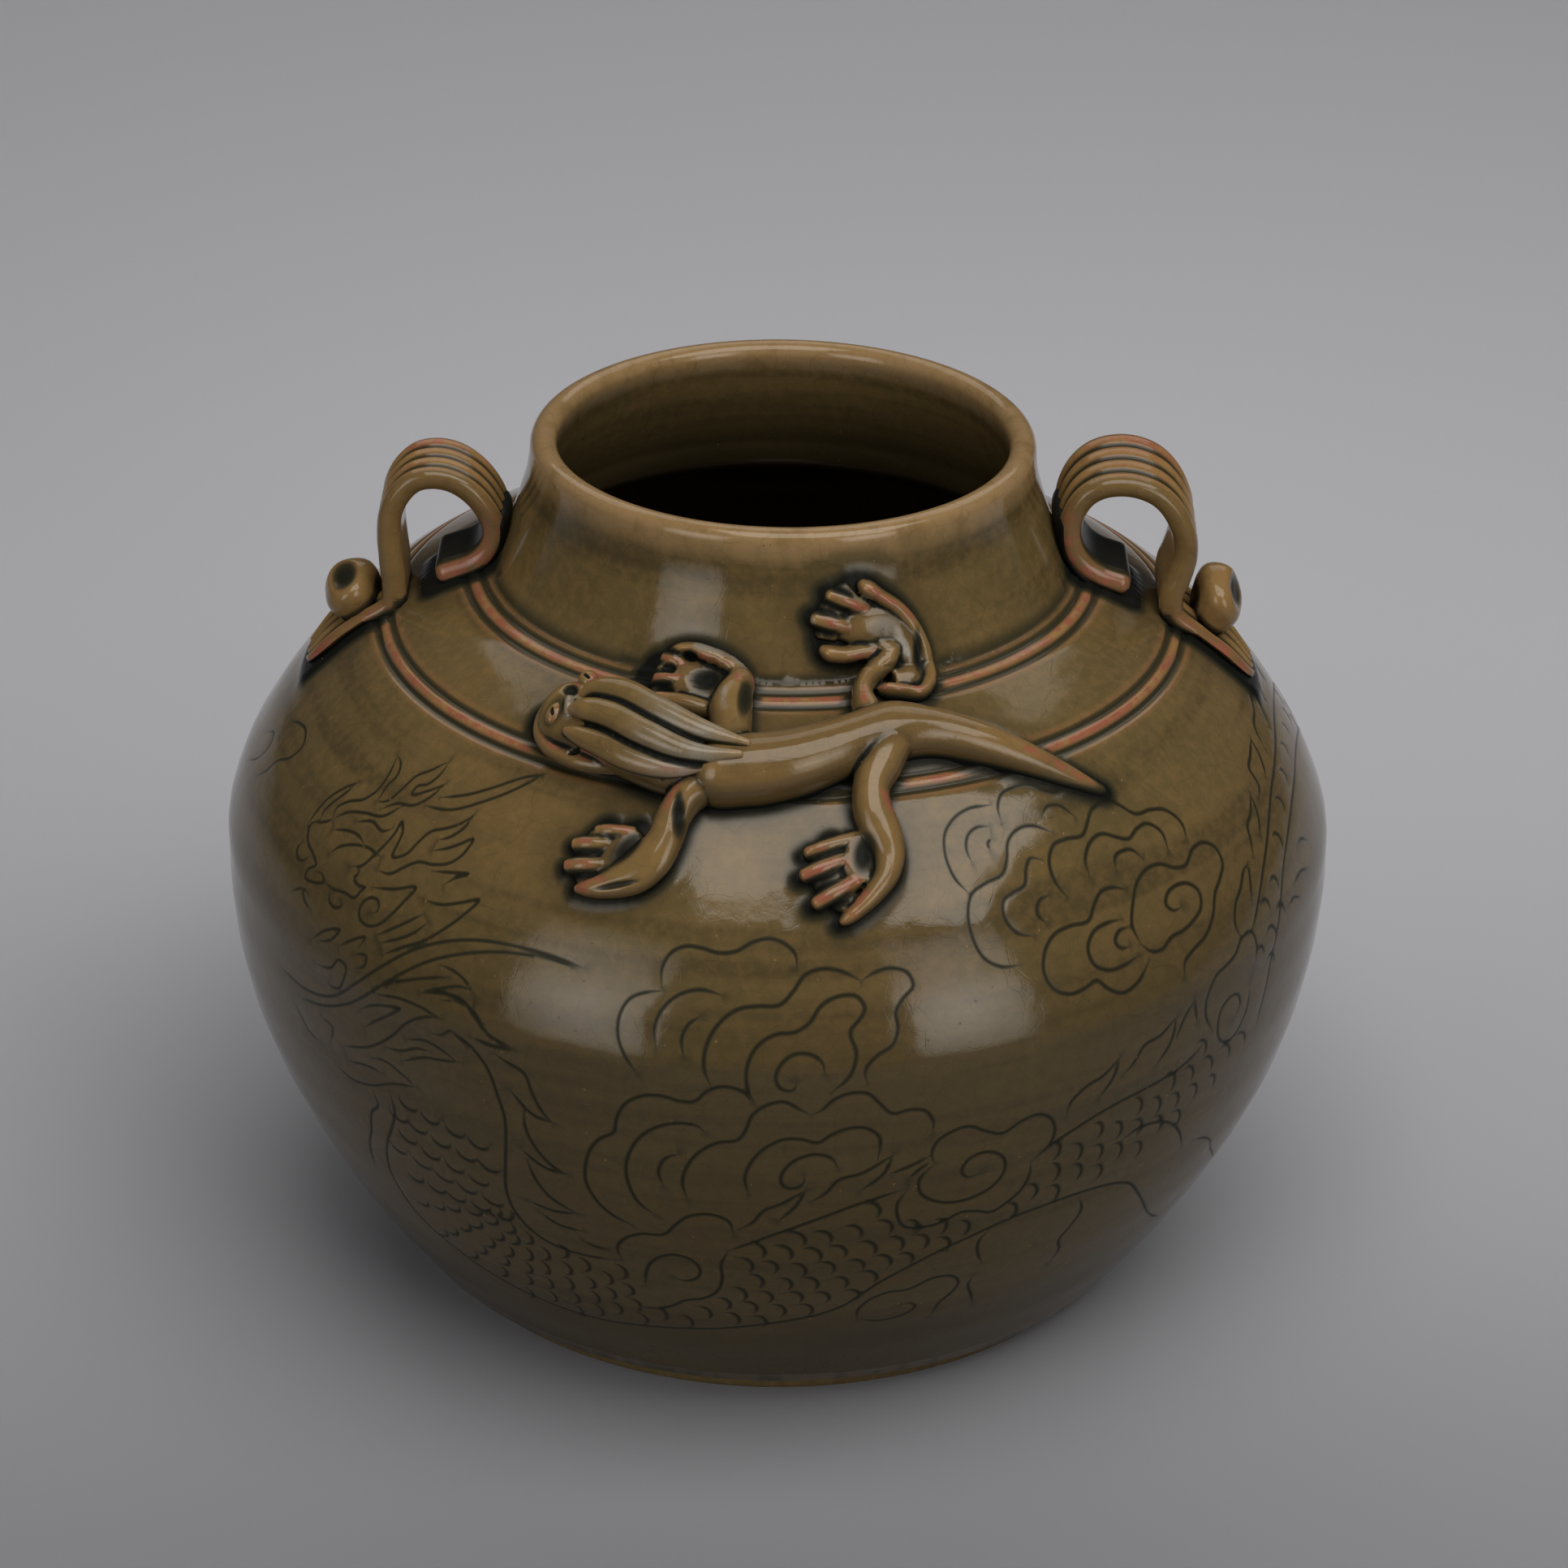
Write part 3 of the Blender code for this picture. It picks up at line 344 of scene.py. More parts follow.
# Where the clay burns pink through the glaze: two ends and half a width.
BLUSHES = (
    (-28.8, -1.9, -23.6, -1.3, 0.9), (-29.4, 4.2, -24, 3.3, 0.8), (-28.4, 8.6, -25.6, 8.3, 0.8),
    (-20, -3.6, -12, -1.8, 0.7), (-9.6, 3, -9.4, 5, 0.8), (-6.2, 1, -5.2, 9, 0.5),
    (-16.6, 28.6, -18, 33, 0.8), (-26.8, 37.4, -23.4, 37.6, 0.7), (-30.4, 41.8, -29.2, 41.3, 0.6),
    (-31, 46.2, -28, 45.4, 0.8), (-27.4, 49.2, -25.6, 48.2, 0.9), (-28.6, 50.2, -27.6, 50.3, 0.6),
    (11.6, -11.8, 18, -10.2, 0.8), (14.6, -16.2, 22.6, -13.4, 0.8), (24, -17.4, 34.6, -11, 0.8),
    (18, -4, 24, -4.6, 0.8), (23.8, 5, 32, 6.9, 0.7), (18.2, 7.4, 17.6, 10, 0.8), (17.6, 30, 18.8, 34.6, 0.7),
    (5, 39.2, 6.8, 38.6, 0.7), (4.6, 43.6, 10, 41.4, 1), (6.2, 48.4, 11.6, 44.9, 0.9),
    (10.4, 51.2, 12.6, 48, 0.8), (-34.8, 25.6, -27.6, 25.4, 1), (-46.8, 15.4, -47.2, 19.4, 0.5),
    (-43.4, 12.6, -41.6, 13.2, 0.7), (-44.6, 24.6, -39, 26.2, 0.5), (-17, 26, -12, 24, 0.8),
    (46, 26, 56, 36, 0.7),
)
# Where the glaze lies thick and milky on the relief, and where glints of reflection are painted on, in the
# same rows.
PEARLS_AND_GLINTS = (
    (-21, -6, -12, -4.6, 0.9), (-12, -4.6, -7.4, -1.4, 0.8), (30, -8, 31.6, -3, 1.1),
    (8.2, -12, 8.4, -8, 0.6), (15, -18, 24, -14.8, 0.7), (4.6, 45.4, 8, 45, 0.6), (-41.6, 16.2, -39.8, 20, 1),
    (-12, 8, -11, 12, 0.8),
)

# Soft lamps: name, place, what it points at, size, power and spread in degrees.
LAMPS = (
    ("overhead", (0.35, -0.52, 1.32), (0.35, -0.47, 0.0), (1.44, 0.92), 14.0, 180.0),
    ("front_left", (-0.74, -0.97, 0.50), (0.0, 0.0, 0.12), (0.62, 1.00), 0.52, 54.0),
    ("front_right", (0.72, -0.94, 0.50), (0.0, 0.0, 0.12), (0.52, 0.96), 0.48, 54.0),
    ("back_sky", (0.0, 1.3, 1.6), (0.0, 0.4, 0.0), (2.4, 1.2), 9.6, 180.0),
)
LAMP_COLOUR = (1.0, 0.94, 0.86)
WORLD_COLOUR = (0.80, 0.80, 0.82, 1.0)
WORLD_STRENGTH = 0.06
# The paper sheet: its side, the length of each step up its bend, how high it rises behind, its
# roughness, and how dark its near end is painted, as shade, beside its far end, from one place of Y
# to another.
PAPER_SIDE = 6.0
PAPER_STEP = 0.16 * math.radians(90.0)
PAPER_RISE = 3.0
PAPER_ROUGHNESS = 0.85
PAPER_NEAR_SHADE = 0.33
PAPER_FADE = (-0.30, 0.32)

# The carver's drawing. Each line is azimuth in degrees and station in mm, point after point.
CLOUD_MIDDLE = (
    (-12.8, 82.7, -14, 79.8, -15, 75.6, -15, 71.5, -14.2, 68.4, -12.6, 66.8, -11, 66.2),
    (-11.2, 65.4, -11.4, 62, -10.7, 59, -9.2, 57.4, -7.6, 57.5, -5.8, 58.2, -4, 57.7, -2.4, 55.9, -0.6, 55.1,
     1.1, 56.2, 2.1, 58.2, 2.2, 60.8),
    (-11.2, 77.3, -11.5, 73, -10.8, 69.3, -9.3, 66.5, -7.2, 65.3, -5.1, 66.1),
    (-8.5, 78.1, -8.8, 74.8, -8.2, 71.9, -7, 70.2),
    (-5.8, 83.8, -6.5, 80.4, -6.4, 75.8, -5.5, 71.9, -3.5, 68.5, -1.6, 67.8, 0.5, 67.5, 1.8, 65, 3, 61.9, 4.9,
     60.8, 6.8, 61.5, 8.6, 63.4),
    (8.6, 63.4, 10.1, 61.9, 11.8, 61.4, 13.4, 62.7, 13.8, 65, 12.6, 67.3, 11.8, 69.6, 11.9, 72.7, 11.3, 75.8,
     9.7, 77.7, 8.6, 80.4, 8.8, 83.2),
    (-1.7, 87.3, -2.4, 83.8, -2.5, 79.6, -1.6, 75.4, 0.2, 73, 2, 72.6, 3.3, 71, 4.6, 67.6, 6.4, 66, 8.2, 66.4,
     8.8, 68.8, 8.2, 70.6, 7.3, 72.6, 7.8, 76.9, 7.3, 80.8, 5.4, 84.8),
    (4.8, 80.8, 4.6, 78.6, 3.4, 76.8, 1.8, 76.9, 0.6, 79, 0.2, 81.6, 0.8, 83.9, 1.9, 84, 2.2, 82.2),
)
CLOUD_LOW = (
    (-13.9, 119.7, -15.8, 117.8, -17.3, 114.7, -18.3, 110.3, -18.2, 105.5, -17.5, 101, -16.5, 98.4, -15.2,
     96.5, -14.9, 93.2, -14.1, 89.8, -12.4, 87.4, -10.4, 86.9, -8.8, 87.6, -7.4, 87.4, -6.2, 84.9, -4.9, 83.7,
     -3.2, 84.2, -2.1, 86, -1.4, 87.9),
    (-8.2, 110.5, -8.6, 106.5, -8.1, 102.3, -6.8, 98.5, -5.1, 96.2, -3.2, 95.2, -2.5, 92.8, -2, 89.8, -0.8,
     87.6, 1.1, 86.6, 2.4, 88.1, 3.6, 89.5),
    (3.6, 89.5, 4.6, 88.4, 5.6, 86.4, 7.3, 85, 8.9, 85.3, 10, 87.6, 11.3, 90.1, 13, 89.6, 14.4, 90.2, 15.2,
     92.4, 15.3, 95.8),
    (-11.4, 115.8, -13, 113.2, -13.9, 108.9, -14.1, 104.3, -13.5, 99.7, -12.4, 96.2, -10.5, 93.4, -8.5, 92.4,
     -7, 92.8, -6.3, 94.2),
    (-10.5, 107.8, -10.9, 104.3, -10.3, 101.2, -8.9, 99.5),
    (-2.2, 108.5, -2.6, 104.3, -2, 100.4, -0.5, 96.7, 1.1, 94.9, 2.7, 94.9, 4.3, 95.8, 5.4, 94.2, 7, 92.8,
     8.8, 92.9, 10.1, 95.2, 10.2, 98, 10, 100.5),
    (6.3, 102.2, 5.7, 99.7, 4.2, 98.5, 2.6, 99.3, 1.3, 101.6, 0.8, 104.3, 1.3, 106.5, 2.4, 106.5, 3.1, 104.7,
     3, 103.4),
)
CLOUD_RIGHT = (
    (21.4, 49.3, 20.2, 45.9, 19.8, 41.3, 20.4, 37.2, 22, 34.5, 24.3, 33, 27.5, 33.2),
    (22.7, 43.8, 22.5, 40.9, 23.1, 38.4, 24.5, 37, 26.4, 37.3), (25.3, 42, 25.3, 40.5, 26, 39.8),
    (28, 37.2, 28.2, 34.3, 29.3, 31.8, 31.4, 30.9, 33.9, 31.5, 35.4, 33.4, 36.8, 34.5, 38.7, 34.3),
    (33.5, 37.8, 34.8, 36.5, 36.4, 37, 37.7, 40.1),
    (25.2, 64.5, 23.3, 64.2, 21.6, 62.1, 20.7, 57.4, 20.8, 53, 21.7, 49.6, 23.6, 48, 26, 46.8, 27, 44.2, 27.8,
     41.2, 29.4, 39.3, 31.8, 39.3, 33.9, 41.8),
    (27.4, 59.9, 25.6, 58.4, 24.7, 55.1, 25.1, 52, 26.5, 50.9, 28.1, 50, 28.9, 47, 29.8, 45.3, 31.1, 46.1),
    (29.3, 58.2, 28.5, 55.9, 29.1, 53.7, 30.6, 53),
    (32.6, 54.5, 31.8, 50.8, 32, 46.8, 33.3, 44.1, 35.2, 43.7, 37.6, 44, 38.9, 42.2, 40.2, 40.3, 42, 39.7,
     43.9, 40.5, 46.1, 44.4, 48.5, 45, 50.8, 46.8, 51.9, 50.5, 51.2, 54),
    (36.2, 52.2, 36.4, 49.2, 37.7, 46.3, 40, 45.1, 41.8, 46.8, 43.2, 48.1, 45.2, 47, 46.9, 47, 48.3, 49.7,
     47.9, 53.8),
    (39.8, 52.8, 40.4, 50.3, 41.8, 49.7, 43.1, 50.3, 43.9, 52.6),
    (40, 56.8, 38.5, 55.5, 36.8, 55.5, 35.5, 57.3, 34.3, 59.8, 31.8, 59.8, 29.8, 60.5, 28.3, 63, 27.6, 67.2,
     28.3, 70.5, 30, 72.3, 32, 71.9, 33.2, 71.2, 34.3, 73.4, 36, 75.3, 37.8, 74.6, 40, 71.3),
    (38.1, 61.8, 36.4, 61.5, 34.3, 62.3, 33.1, 65.1, 33.3, 68, 34.8, 70.1, 36.8, 70.3, 38.9, 69.5),
    (38.8, 63.7, 37.3, 63.8, 36.5, 65.5, 37, 67, 38.1, 67.2),
    (39.5, 67.6, 39.2, 63.8, 40.2, 60, 41.8, 56.4, 43.9, 54.8, 45.8, 55.1, 47.7, 57.2, 49.2, 57.8, 51.4, 55.8,
     53.5, 55.9, 55, 58.4, 55, 61.3, 53.5, 63.7, 51.8, 65.6, 50.2, 69.3, 48.4, 71.9, 46, 73.3, 44.5, 74.7, 44,
     77.4),
    (39.5, 67.6, 40.5, 69.7, 42, 70.3, 43.6, 68.9, 45.3, 68.8, 47.3, 68, 49.1, 66.2, 49.6, 63.6, 48.7, 61.3,
     46.8, 60.3, 45.2, 60.9, 44.4, 62.6, 45.1, 64.4, 46.4, 64.5),
)
CLOUDS_ON_BODY = (
    (25.9, 107.2, 27.8, 104, 28.2, 100.8, 27.6, 97.7, 26.2, 96, 24.4, 96.6, 22.4, 98.5, 20.5, 97, 18.9, 95.3,
     17.2, 95.9, 15.7, 98, 15.3, 100.4, 15.7, 103),
    (15.7, 103, 14.3, 106.3, 14.5, 110, 16, 112.6, 18, 113.8, 20.2, 113.3, 22.1, 111.3, 23.1, 108, 22.8,
     104.6, 21.5, 102.5, 20, 102.3, 18.8, 103.9, 18.5, 106, 19.3, 107.9, 20.4, 107.3),
    (13.2, 108.8, 12.3, 112, 12.4, 115.5, 13.3, 118.9, 15.5, 119.7, 17.4, 118.9, 18.9, 117.1, 20.8, 117.6,
     22.4, 118.8, 24, 116.8, 25.4, 114, 26, 110.8, 25.9, 107.3),
    (48.3, 92.7, 47, 88, 47.2, 83.6, 48.5, 80.6, 50.3, 79.8, 52, 78.9, 53.5, 76.8, 55.5, 77, 55.9, 80.5, 55.3,
     84.3),
    (53.5, 76.8, 53.2, 73.5, 54.1, 70.2, 56, 67.9, 57.6, 65.6, 59, 64.8), (59, 64.8, 58.1, 67.8, 57, 71.4),
    (54.6, 88, 54.2, 94, 52.2, 98, 50.2, 97, 49.2, 93.5, 49.5, 89.2, 50.9, 87.5, 52.4, 88.1, 52.9, 90.8, 51.8,
     93.2),
    (-15.7, 131.4, -15.9, 127.5, -15, 124.4, -13.2, 122.1, -10.7, 121.2, -9.5, 118, -8.2, 115.3, -5.9, 114.2,
     -4.2, 115.7, -3.7, 119.6),
    (-4.3, 124.5, -5.1, 129, -5.1, 134.4, -5.9, 139.3, -7.5, 142.1, -9.4, 143.5, -10.8, 146, -12.6, 148, -15,
     148.8),
    (-13.6, 139.4, -13.2, 134.4, -12.3, 130.3, -10.2, 127.3, -8.4, 128, -7.4, 130.7, -7.7, 134.4, -9.1, 136,
     -10.2, 135.3),
    (10, 150.7, 9.8, 147.1, 10.9, 143, 12.7, 140.7, 15, 140.5, 17.7, 137.5, 19.8, 138, 20.9, 140.7, 20.7,
     144.4, 19.5, 148, 18.9, 153.5),
    (10.2, 150, 11.4, 151.4, 13.6, 151.8, 15.7, 150.3, 16.6, 148, 15.7, 146.2, 14.8, 146.4),
)
DRAGON_BACK = (
    (-32.2, 82.9, -30.2, 85, -28.4, 88.6, -27.3, 93.8, -26.6, 99.5, -26.7, 105, -27.1, 111, -27.5, 118.5,
     -27.2, 123.4, -26.1, 127.4, -24.3, 130.6, -22, 132.2, -19.3, 132.6, -16.6, 132),
    (-4.3, 124.5, -1.8, 121.6, 0.5, 118.9, 2.7, 116.6, 5.5, 113.9, 7.7, 111.9, 10, 110.3, 12.6, 108.6),
    (25.9, 107.2, 28, 104.2, 30.5, 102.1, 33, 100.4, 35.5, 99.3, 38.8, 98.6, 41.3, 98.2, 43.8, 97.5, 45.5,
     96.3, 47.1, 94.4),
    (55.4, 77, 56.8, 75, 58.7, 71.8, 61.2, 68.1, 64.1, 64.8, 67, 61.8, 70.3, 59, 73.3, 57.5, 78, 55.8, 84,
     54.2, 90, 54.8, 97, 58.5, 103, 64, 108, 71, 112, 80),
)
DRAGON_BELLY = (
    (-41, 103.5, -40.7, 108, -41.8, 113.5, -43.4, 119.4, -44.6, 125.5, -45, 131.6, -44.6, 137.5, -42.5, 144,
     -38.5, 149.5, -33, 154, -27, 157, -20, 158, -15.5, 157, -10, 155.4, -5, 153.5, -1.8, 151.8, 1.8, 149.8,
     5.5, 147.4, 8.2, 144.2, 10, 139.9, 11.4, 136.9, 14.5, 132.1, 17.7, 127.8, 20.9, 124.9, 25, 122.1, 29.1,
     120.9, 33.2, 120.7, 36.8, 121.6, 40, 124.2, 42.3, 129.2, 44.4, 134.3, 46.8, 140.2, 49.6, 145.4, 53, 150),
    (36.8, 109.7, 38.8, 108.4, 41.2, 108.8, 43.4, 110.7, 45.1, 113.6, 46.4, 117, 47.4, 121),
    (49.5, 121.6, 51.8, 123.5, 54.1, 126.6, 55.9, 131.2, 58.2, 135.3, 60.5, 139.8),
    (57, 100.2, 58, 93, 59, 86.5, 60.2, 81.5, 62, 77.2, 64.5, 72.5, 67, 69.5, 70.3, 66.9, 73.7, 65, 78, 63.6,
     83.5, 62.8, 88.5, 64, 94, 67.4, 99.5, 72, 105, 76.5, 112, 80),
    (23, 135.3, 22, 130.7, 21.8, 127.1, 22.5, 124.4), (24.1, 151.6, 23.2, 147.1, 22.3, 142.5, 22.5, 139.4),
    (33, 122.1, 33.9, 126.2, 33.4, 130.7, 32.5, 135.3, 33.2, 138.9, 32.7, 143.5),
    (-43.6, 105.7, -43.2, 108.9, -44.6, 112, -45.6, 118, -47.2, 124, -48, 131),
)
FLAMES = (
    (-3.2, 117.8, -1.9, 115.9, -0.8, 112.6, 1, 110.6, 3.3, 107), (3.3, 107, 2.4, 111, 0.7, 115.1),
    (3.8, 110.2, 5.2, 108, 6.3, 104.9, 8.4, 103.6, 11.6, 99.5), (11.6, 99.5, 10.6, 104.2, 8.4, 108),
    (11.3, 104.2, 13.2, 102.8, 15, 101), (13.2, 105.8, 14.2, 103.8, 15.2, 102.4),
    (29.3, 98.3, 29.7, 95.4, 31.3, 92.7, 33.4, 91.3, 35.3, 88.3), (35.3, 88.3, 34.5, 92.9, 33, 96.3),
    (35.7, 92.9, 37.2, 90.7, 38.2, 88.2, 40.5, 87.3, 42.7, 84.6), (42.7, 84.6, 42, 89.6, 40.1, 94),
    (42.6, 89.8, 44, 85.4, 45.2, 82.9), (45.2, 82.9, 45.4, 85.8, 45.7, 88.3),
    (60.3, 64.8, 61.4, 61.8, 62, 59.3, 63.7, 58.1, 66, 55.2), (66, 55.2, 64.9, 60, 63.5, 62.7),
    (67, 57.3, 68.7, 55.6, 69.1, 51.8, 71.2, 50.6, 74.1, 48.9), (74.1, 48.9, 73.2, 52.6, 71.4, 56),
    (75.5, 53, 77, 49, 80.5, 47.6, 84, 45), (84, 45, 83.2, 49.2, 81, 53),
    (86, 51, 88.5, 47.6, 92.5, 47.2, 97, 46.6), (97, 46.6, 95, 50.4, 92, 53.4),
    (112, 80, 114.5, 74, 118.5, 70.5, 124, 69), (124, 69, 119.6, 73.4, 117, 79),
    (112, 80, 117, 79, 121.5, 80.5, 125, 84.5), (125, 84.5, 119.5, 83.6, 115.5, 85.5),
    (112, 80, 112.6, 85, 115.5, 90.5, 118, 93.5), (70.3, 71.4, 72, 71.6, 73.3, 73.5),
    (66, 76.4, 68.7, 76, 71, 77.5), (63.7, 78.9, 65.3, 78.5, 67, 80.2),
    (-36.4, 77.6, -34.3, 76.3, -31.4, 76.3, -29.8, 78.8, -28.1, 81.3, -25.4, 82.6),
    (-25.4, 82.6, -27.3, 83.3, -30, 82.8),
    (-27.7, 84.7, -26.4, 85.9, -24.3, 87.6, -23.5, 91.3, -22.3, 95.5, -21.3, 97.3),
    (-21.3, 97.3, -23.5, 96.3, -25, 93.8, -25.9, 91.8),
    (-24.4, 95.5, -24.4, 99.7, -23.5, 103.8, -21.8, 107.6, -20.2, 109.1),
    (-20.2, 109.1, -22.3, 108.8, -23.9, 107.2, -25, 105.1),
    (-24.5, 107.5, -24, 111.6, -22.5, 116.2, -19.7, 119.4), (-19.7, 119.4, -22.5, 120.2, -25, 119.1),
    (-24, 121.6, -22.5, 123.9, -19.4, 124.6), (-19.6, 127.5, -18.3, 128.7, -17, 128.7),
)
MANE_LINES = (
    (-19.3, 64.2, -23, 63.2, -27.5, 63.2, -31.5, 64.2, -35.2, 66.6, -38.9, 70.9, -42, 76.2, -45, 82, -49,
     88.5, -54, 91.5, -59, 91.5),
    (-19.3, 64.2, -24, 64, -28.5, 65, -32.5, 67.4, -36, 70.8, -39.5, 76, -43, 82.5, -46.5, 88, -50.5, 92, -55,
     94.5),
)
HEAD_LINES = (
    (-78.8, 52.8, -76.1, 50.6, -73, 50, -71.4, 52, -72, 55.4, -74.4, 58.9, -75.5, 62.3, -77.4, 66.1),
    (-83.1, 60.4, -80.1, 58.3, -79.1, 59.8, -79.8, 63.1, -83.3, 68.4),
    (-60.6, 61.3, -60.5, 58, -60, 54.2, -58.6, 50.6, -57, 47.7),
    (-57, 47.7, -57.7, 50.7, -58.8, 54.1, -59.3, 56.7, -58.9, 58.6),
    (-57.2, 56.6, -57.7, 54.5, -56.7, 52.2, -54.2, 49.3, -53.2, 46.4, -53.2, 43.2, -54, 38.8),
    (-54, 38.8, -52.6, 39.8, -51.9, 42.2, -52.3, 44.8, -52.2, 47.1, -52.3, 48.6),
    (-52.3, 48.6, -50.8, 47.2, -49.8, 43.5, -49.2, 40.3, -47.6, 37.7, -45.8, 34.3),
    (-45.8, 34.3, -45.8, 36.9, -46.7, 40.3, -48.1, 42, -48.1, 43.4, -46.1, 41.5, -44.2, 38.5),
    (-44.2, 38.5, -45.2, 42.2, -46.6, 45.1, -49.3, 46.7, -51, 49.3),
    (-57.2, 56.6, -55.7, 53.8, -52.9, 51.6, -50, 50, -48.8, 47.8, -48.2, 46.4),
    (-43.8, 41.5, -40.5, 38.8, -37.5, 35.5, -34.2, 31.5, -31.6, 29.4),
    (-45.2, 44.3, -41.5, 42.8, -38, 39, -34.8, 34.8, -31.6, 29.4),
    (-59.1, 58.3, -60.2, 60.9, -59.3, 63.3, -57.4, 64.6, -56, 66, -57, 67.9, -56.9, 69.3, -55.5, 69.2, -53.7,
     67.4, -54.4, 66.6, -55.6, 66.9),
    (-59.9, 64.2, -60.4, 66.1, -59.8, 67.3, -58.2, 66.9, -57.7, 65.5), (-59.4, 59.5, -57.9, 57.8, -57, 56.5),
    (-56.1, 58.1, -53.6, 56.3, -51.9, 56, -50.4, 56.8),
    (-54.8, 62.6, -54, 60.4, -52, 58.1, -49.7, 56.9, -47.2, 57.1),
    (-53.5, 54.1, -51.2, 52.2, -48.8, 52.6, -47.7, 51.1),
    (-50.8, 62, -49.1, 60.2, -48.3, 57.5, -47.5, 54.1, -47.1, 51.1, -47.1, 49.1, -46.2, 50.7, -46, 53.8,
     -45.9, 55.9, -44.2, 54.3, -43.4, 51.1, -42.5, 48.3, -40.7, 46.4, -39.1, 44.3, -38, 41.5),
    (-38, 41.5, -38.4, 44.7, -39.5, 47.4, -41, 49.2),
    (-41.1, 51.5, -39.1, 49.6, -37.8, 47.9, -36.6, 46.2, -36.9, 49.3, -38, 52, -40.1, 53.8, -42.2, 54.6,
     -43.7, 56.9, -44.9, 59, -46.9, 59.7),
    (-39.8, 55, -37.4, 53.8, -35.3, 52.9, -36.7, 54.6, -37.7, 56.6),
    (-53.7, 67.4, -52.2, 67.7, -50, 66.9, -48.2, 66.5, -47.9, 64.9, -47.5, 63.9, -48.7, 64.2, -49.6, 63.4,
     -49.2, 61.9, -50.2, 61.2),
    (-52.3, 68, -51.6, 70.2, -50.4, 70.5, -49.6, 69.2, -50.2, 68.6), (-56.6, 71.6, -55.7, 73.2, -54.2, 74.1),
    (-46.5, 63.1, -43.7, 61.4, -40.9, 59.3, -41.8, 62.8, -42.7, 66, -43.8, 68.8, -45.5, 70.2, -46.7, 69.5,
     -47.1, 67.4, -46.3, 65.1, -44.9, 65, -44.6, 66.6, -45.3, 67.7),
    (-39.3, 60.7, -37.2, 60.3, -34.8, 58.5, -32.8, 56.8, -34.2, 61, -35.8, 64.5, -37.5, 67.7, -40.1, 71,
     -42.2, 73.9),
    (-43.7, 71.1, -41, 66.9, -38.7, 63.1), (-42.9, 72.1, -39.2, 67.4, -37.8, 64.3),
    (-52.8, 79.5, -51.2, 76.1, -48.8, 73.9, -49.7, 76.6, -51.7, 78.7),
    (-48.4, 77, -46.8, 74.4, -45, 72.5, -45.5, 74.7), (-46, 76.6, -44.2, 75.9, -44.3, 77.9, -45.2, 79),
    (-51.6, 83.5, -48.9, 81.9, -48, 79.5, -46.7, 80, -46.9, 82.7, -48, 85.8, -49.4, 86.1, -49.1, 84.2),
    (-58.1, 73.4, -56.4, 71.5, -55.4, 71.5), (-42.8, 81.2, -39.2, 77.2, -35.6, 74.1, -33.5, 72.7),
    (-36.6, 77.9, -34.3, 75.4, -31.9, 73.7, -30.5, 73.9), (-34.9, 71, -32.9, 71.4, -31.2, 72.9, -30.3, 74.3),
    (-33.9, 77.6, -31.6, 76.7, -30, 77.8, -28.5, 80.7, -26.8, 82.3, -25.2, 83),
    (-25.2, 83, -26.8, 83.2, -28.8, 83, -30.2, 82.8), (-42.3, 82.2, -38.9, 80.6, -36.5, 80.5, -33.7, 81.2),
    (-33.7, 81.2, -35.8, 82.3, -38, 85.3, -40.1, 89.9, -43.2, 94.8, -47.7, 98.8),
    (-44.5, 87.5, -43, 85.4, -40.5, 83.4, -38.8, 82.6, -40.4, 85.4, -42.2, 88.1, -44, 91.2),
    (-34.9, 85.2, -33.8, 84.9, -32.4, 83, -31.3, 84.2, -30.3, 85.7),
    (-38.1, 89, -35.6, 87.5, -33.4, 88.3, -31.9, 89.4), (-38.8, 94.5, -35.7, 91.3, -33.4, 90.3, -31.2, 89.2),
    (-49.4, 104.7, -47.4, 105.9, -43.8, 104.6, -40.5, 101.3, -37.1, 99.2),
    (-37.1, 99.2, -38.7, 97.9, -41.1, 96.5, -43.3, 97.4), (-47, 101.7, -43.5, 100, -41.7, 99.9),
    (-41, 93.1, -38.9, 92.2, -36.4, 89.8, -35, 89.5), (-56.8, 96.5, -55.4, 99.1, -54.1, 101.4, -51.8, 102),
    (-51, 95, -49.2, 95.7, -49.9, 100),
)
# Clouds that are carved again round the back: drawing, turn, way down and handedness.
BACK_CLOUDS = (
    (CLOUD_MIDDLE, 148, 4, 1),
    (CLOUD_LOW, 152, 2, 1),
    (CLOUD_RIGHT, 138, -2, 1),
    (CLOUD_MIDDLE, 236, 10, -1),
    (CLOUD_LOW, 240, 8, -1),
    (CLOUD_LOW, 196, 20, -1),
    (CLOUD_LOW, 98, 26, 1),
)


def clamp(values):
    """Hold numbers between zero and one."""
    return np.clip(values, 0.0, 1.0)


def bezier(p0, p1, p2, p3, count):
    """Return count + 1 points along one cubic curve."""
    t = np.linspace(0.0, 1.0, count + 1)[:, None]
    ends = (1 - t) ** 3 * np.array(p0) + t**3 * np.array(p3)
    middle = 3 * (1 - t) ** 2 * t * np.array(p1) + 3 * (1 - t) * t**2 * np.array(p2)
    return ends + middle


def polar(length, angle):
    """Return a (radius, height) step of a length in a direction."""
    return np.array((length * math.cos(angle), length * math.sin(angle)))


def lower_curve(count):
    """Return the outer profile from the foot up to the belly."""
    start = np.array((BODY_START_RADIUS, BODY_START_HEIGHT))
    belly = np.array((BELLY_RADIUS, BELLY_HEIGHT))
    pull = start + polar(FOOT_PULL, FOOT_SLOPE)
    return bezier(start, pull, belly - (0, BELLY_PULL_BELOW), belly, count)


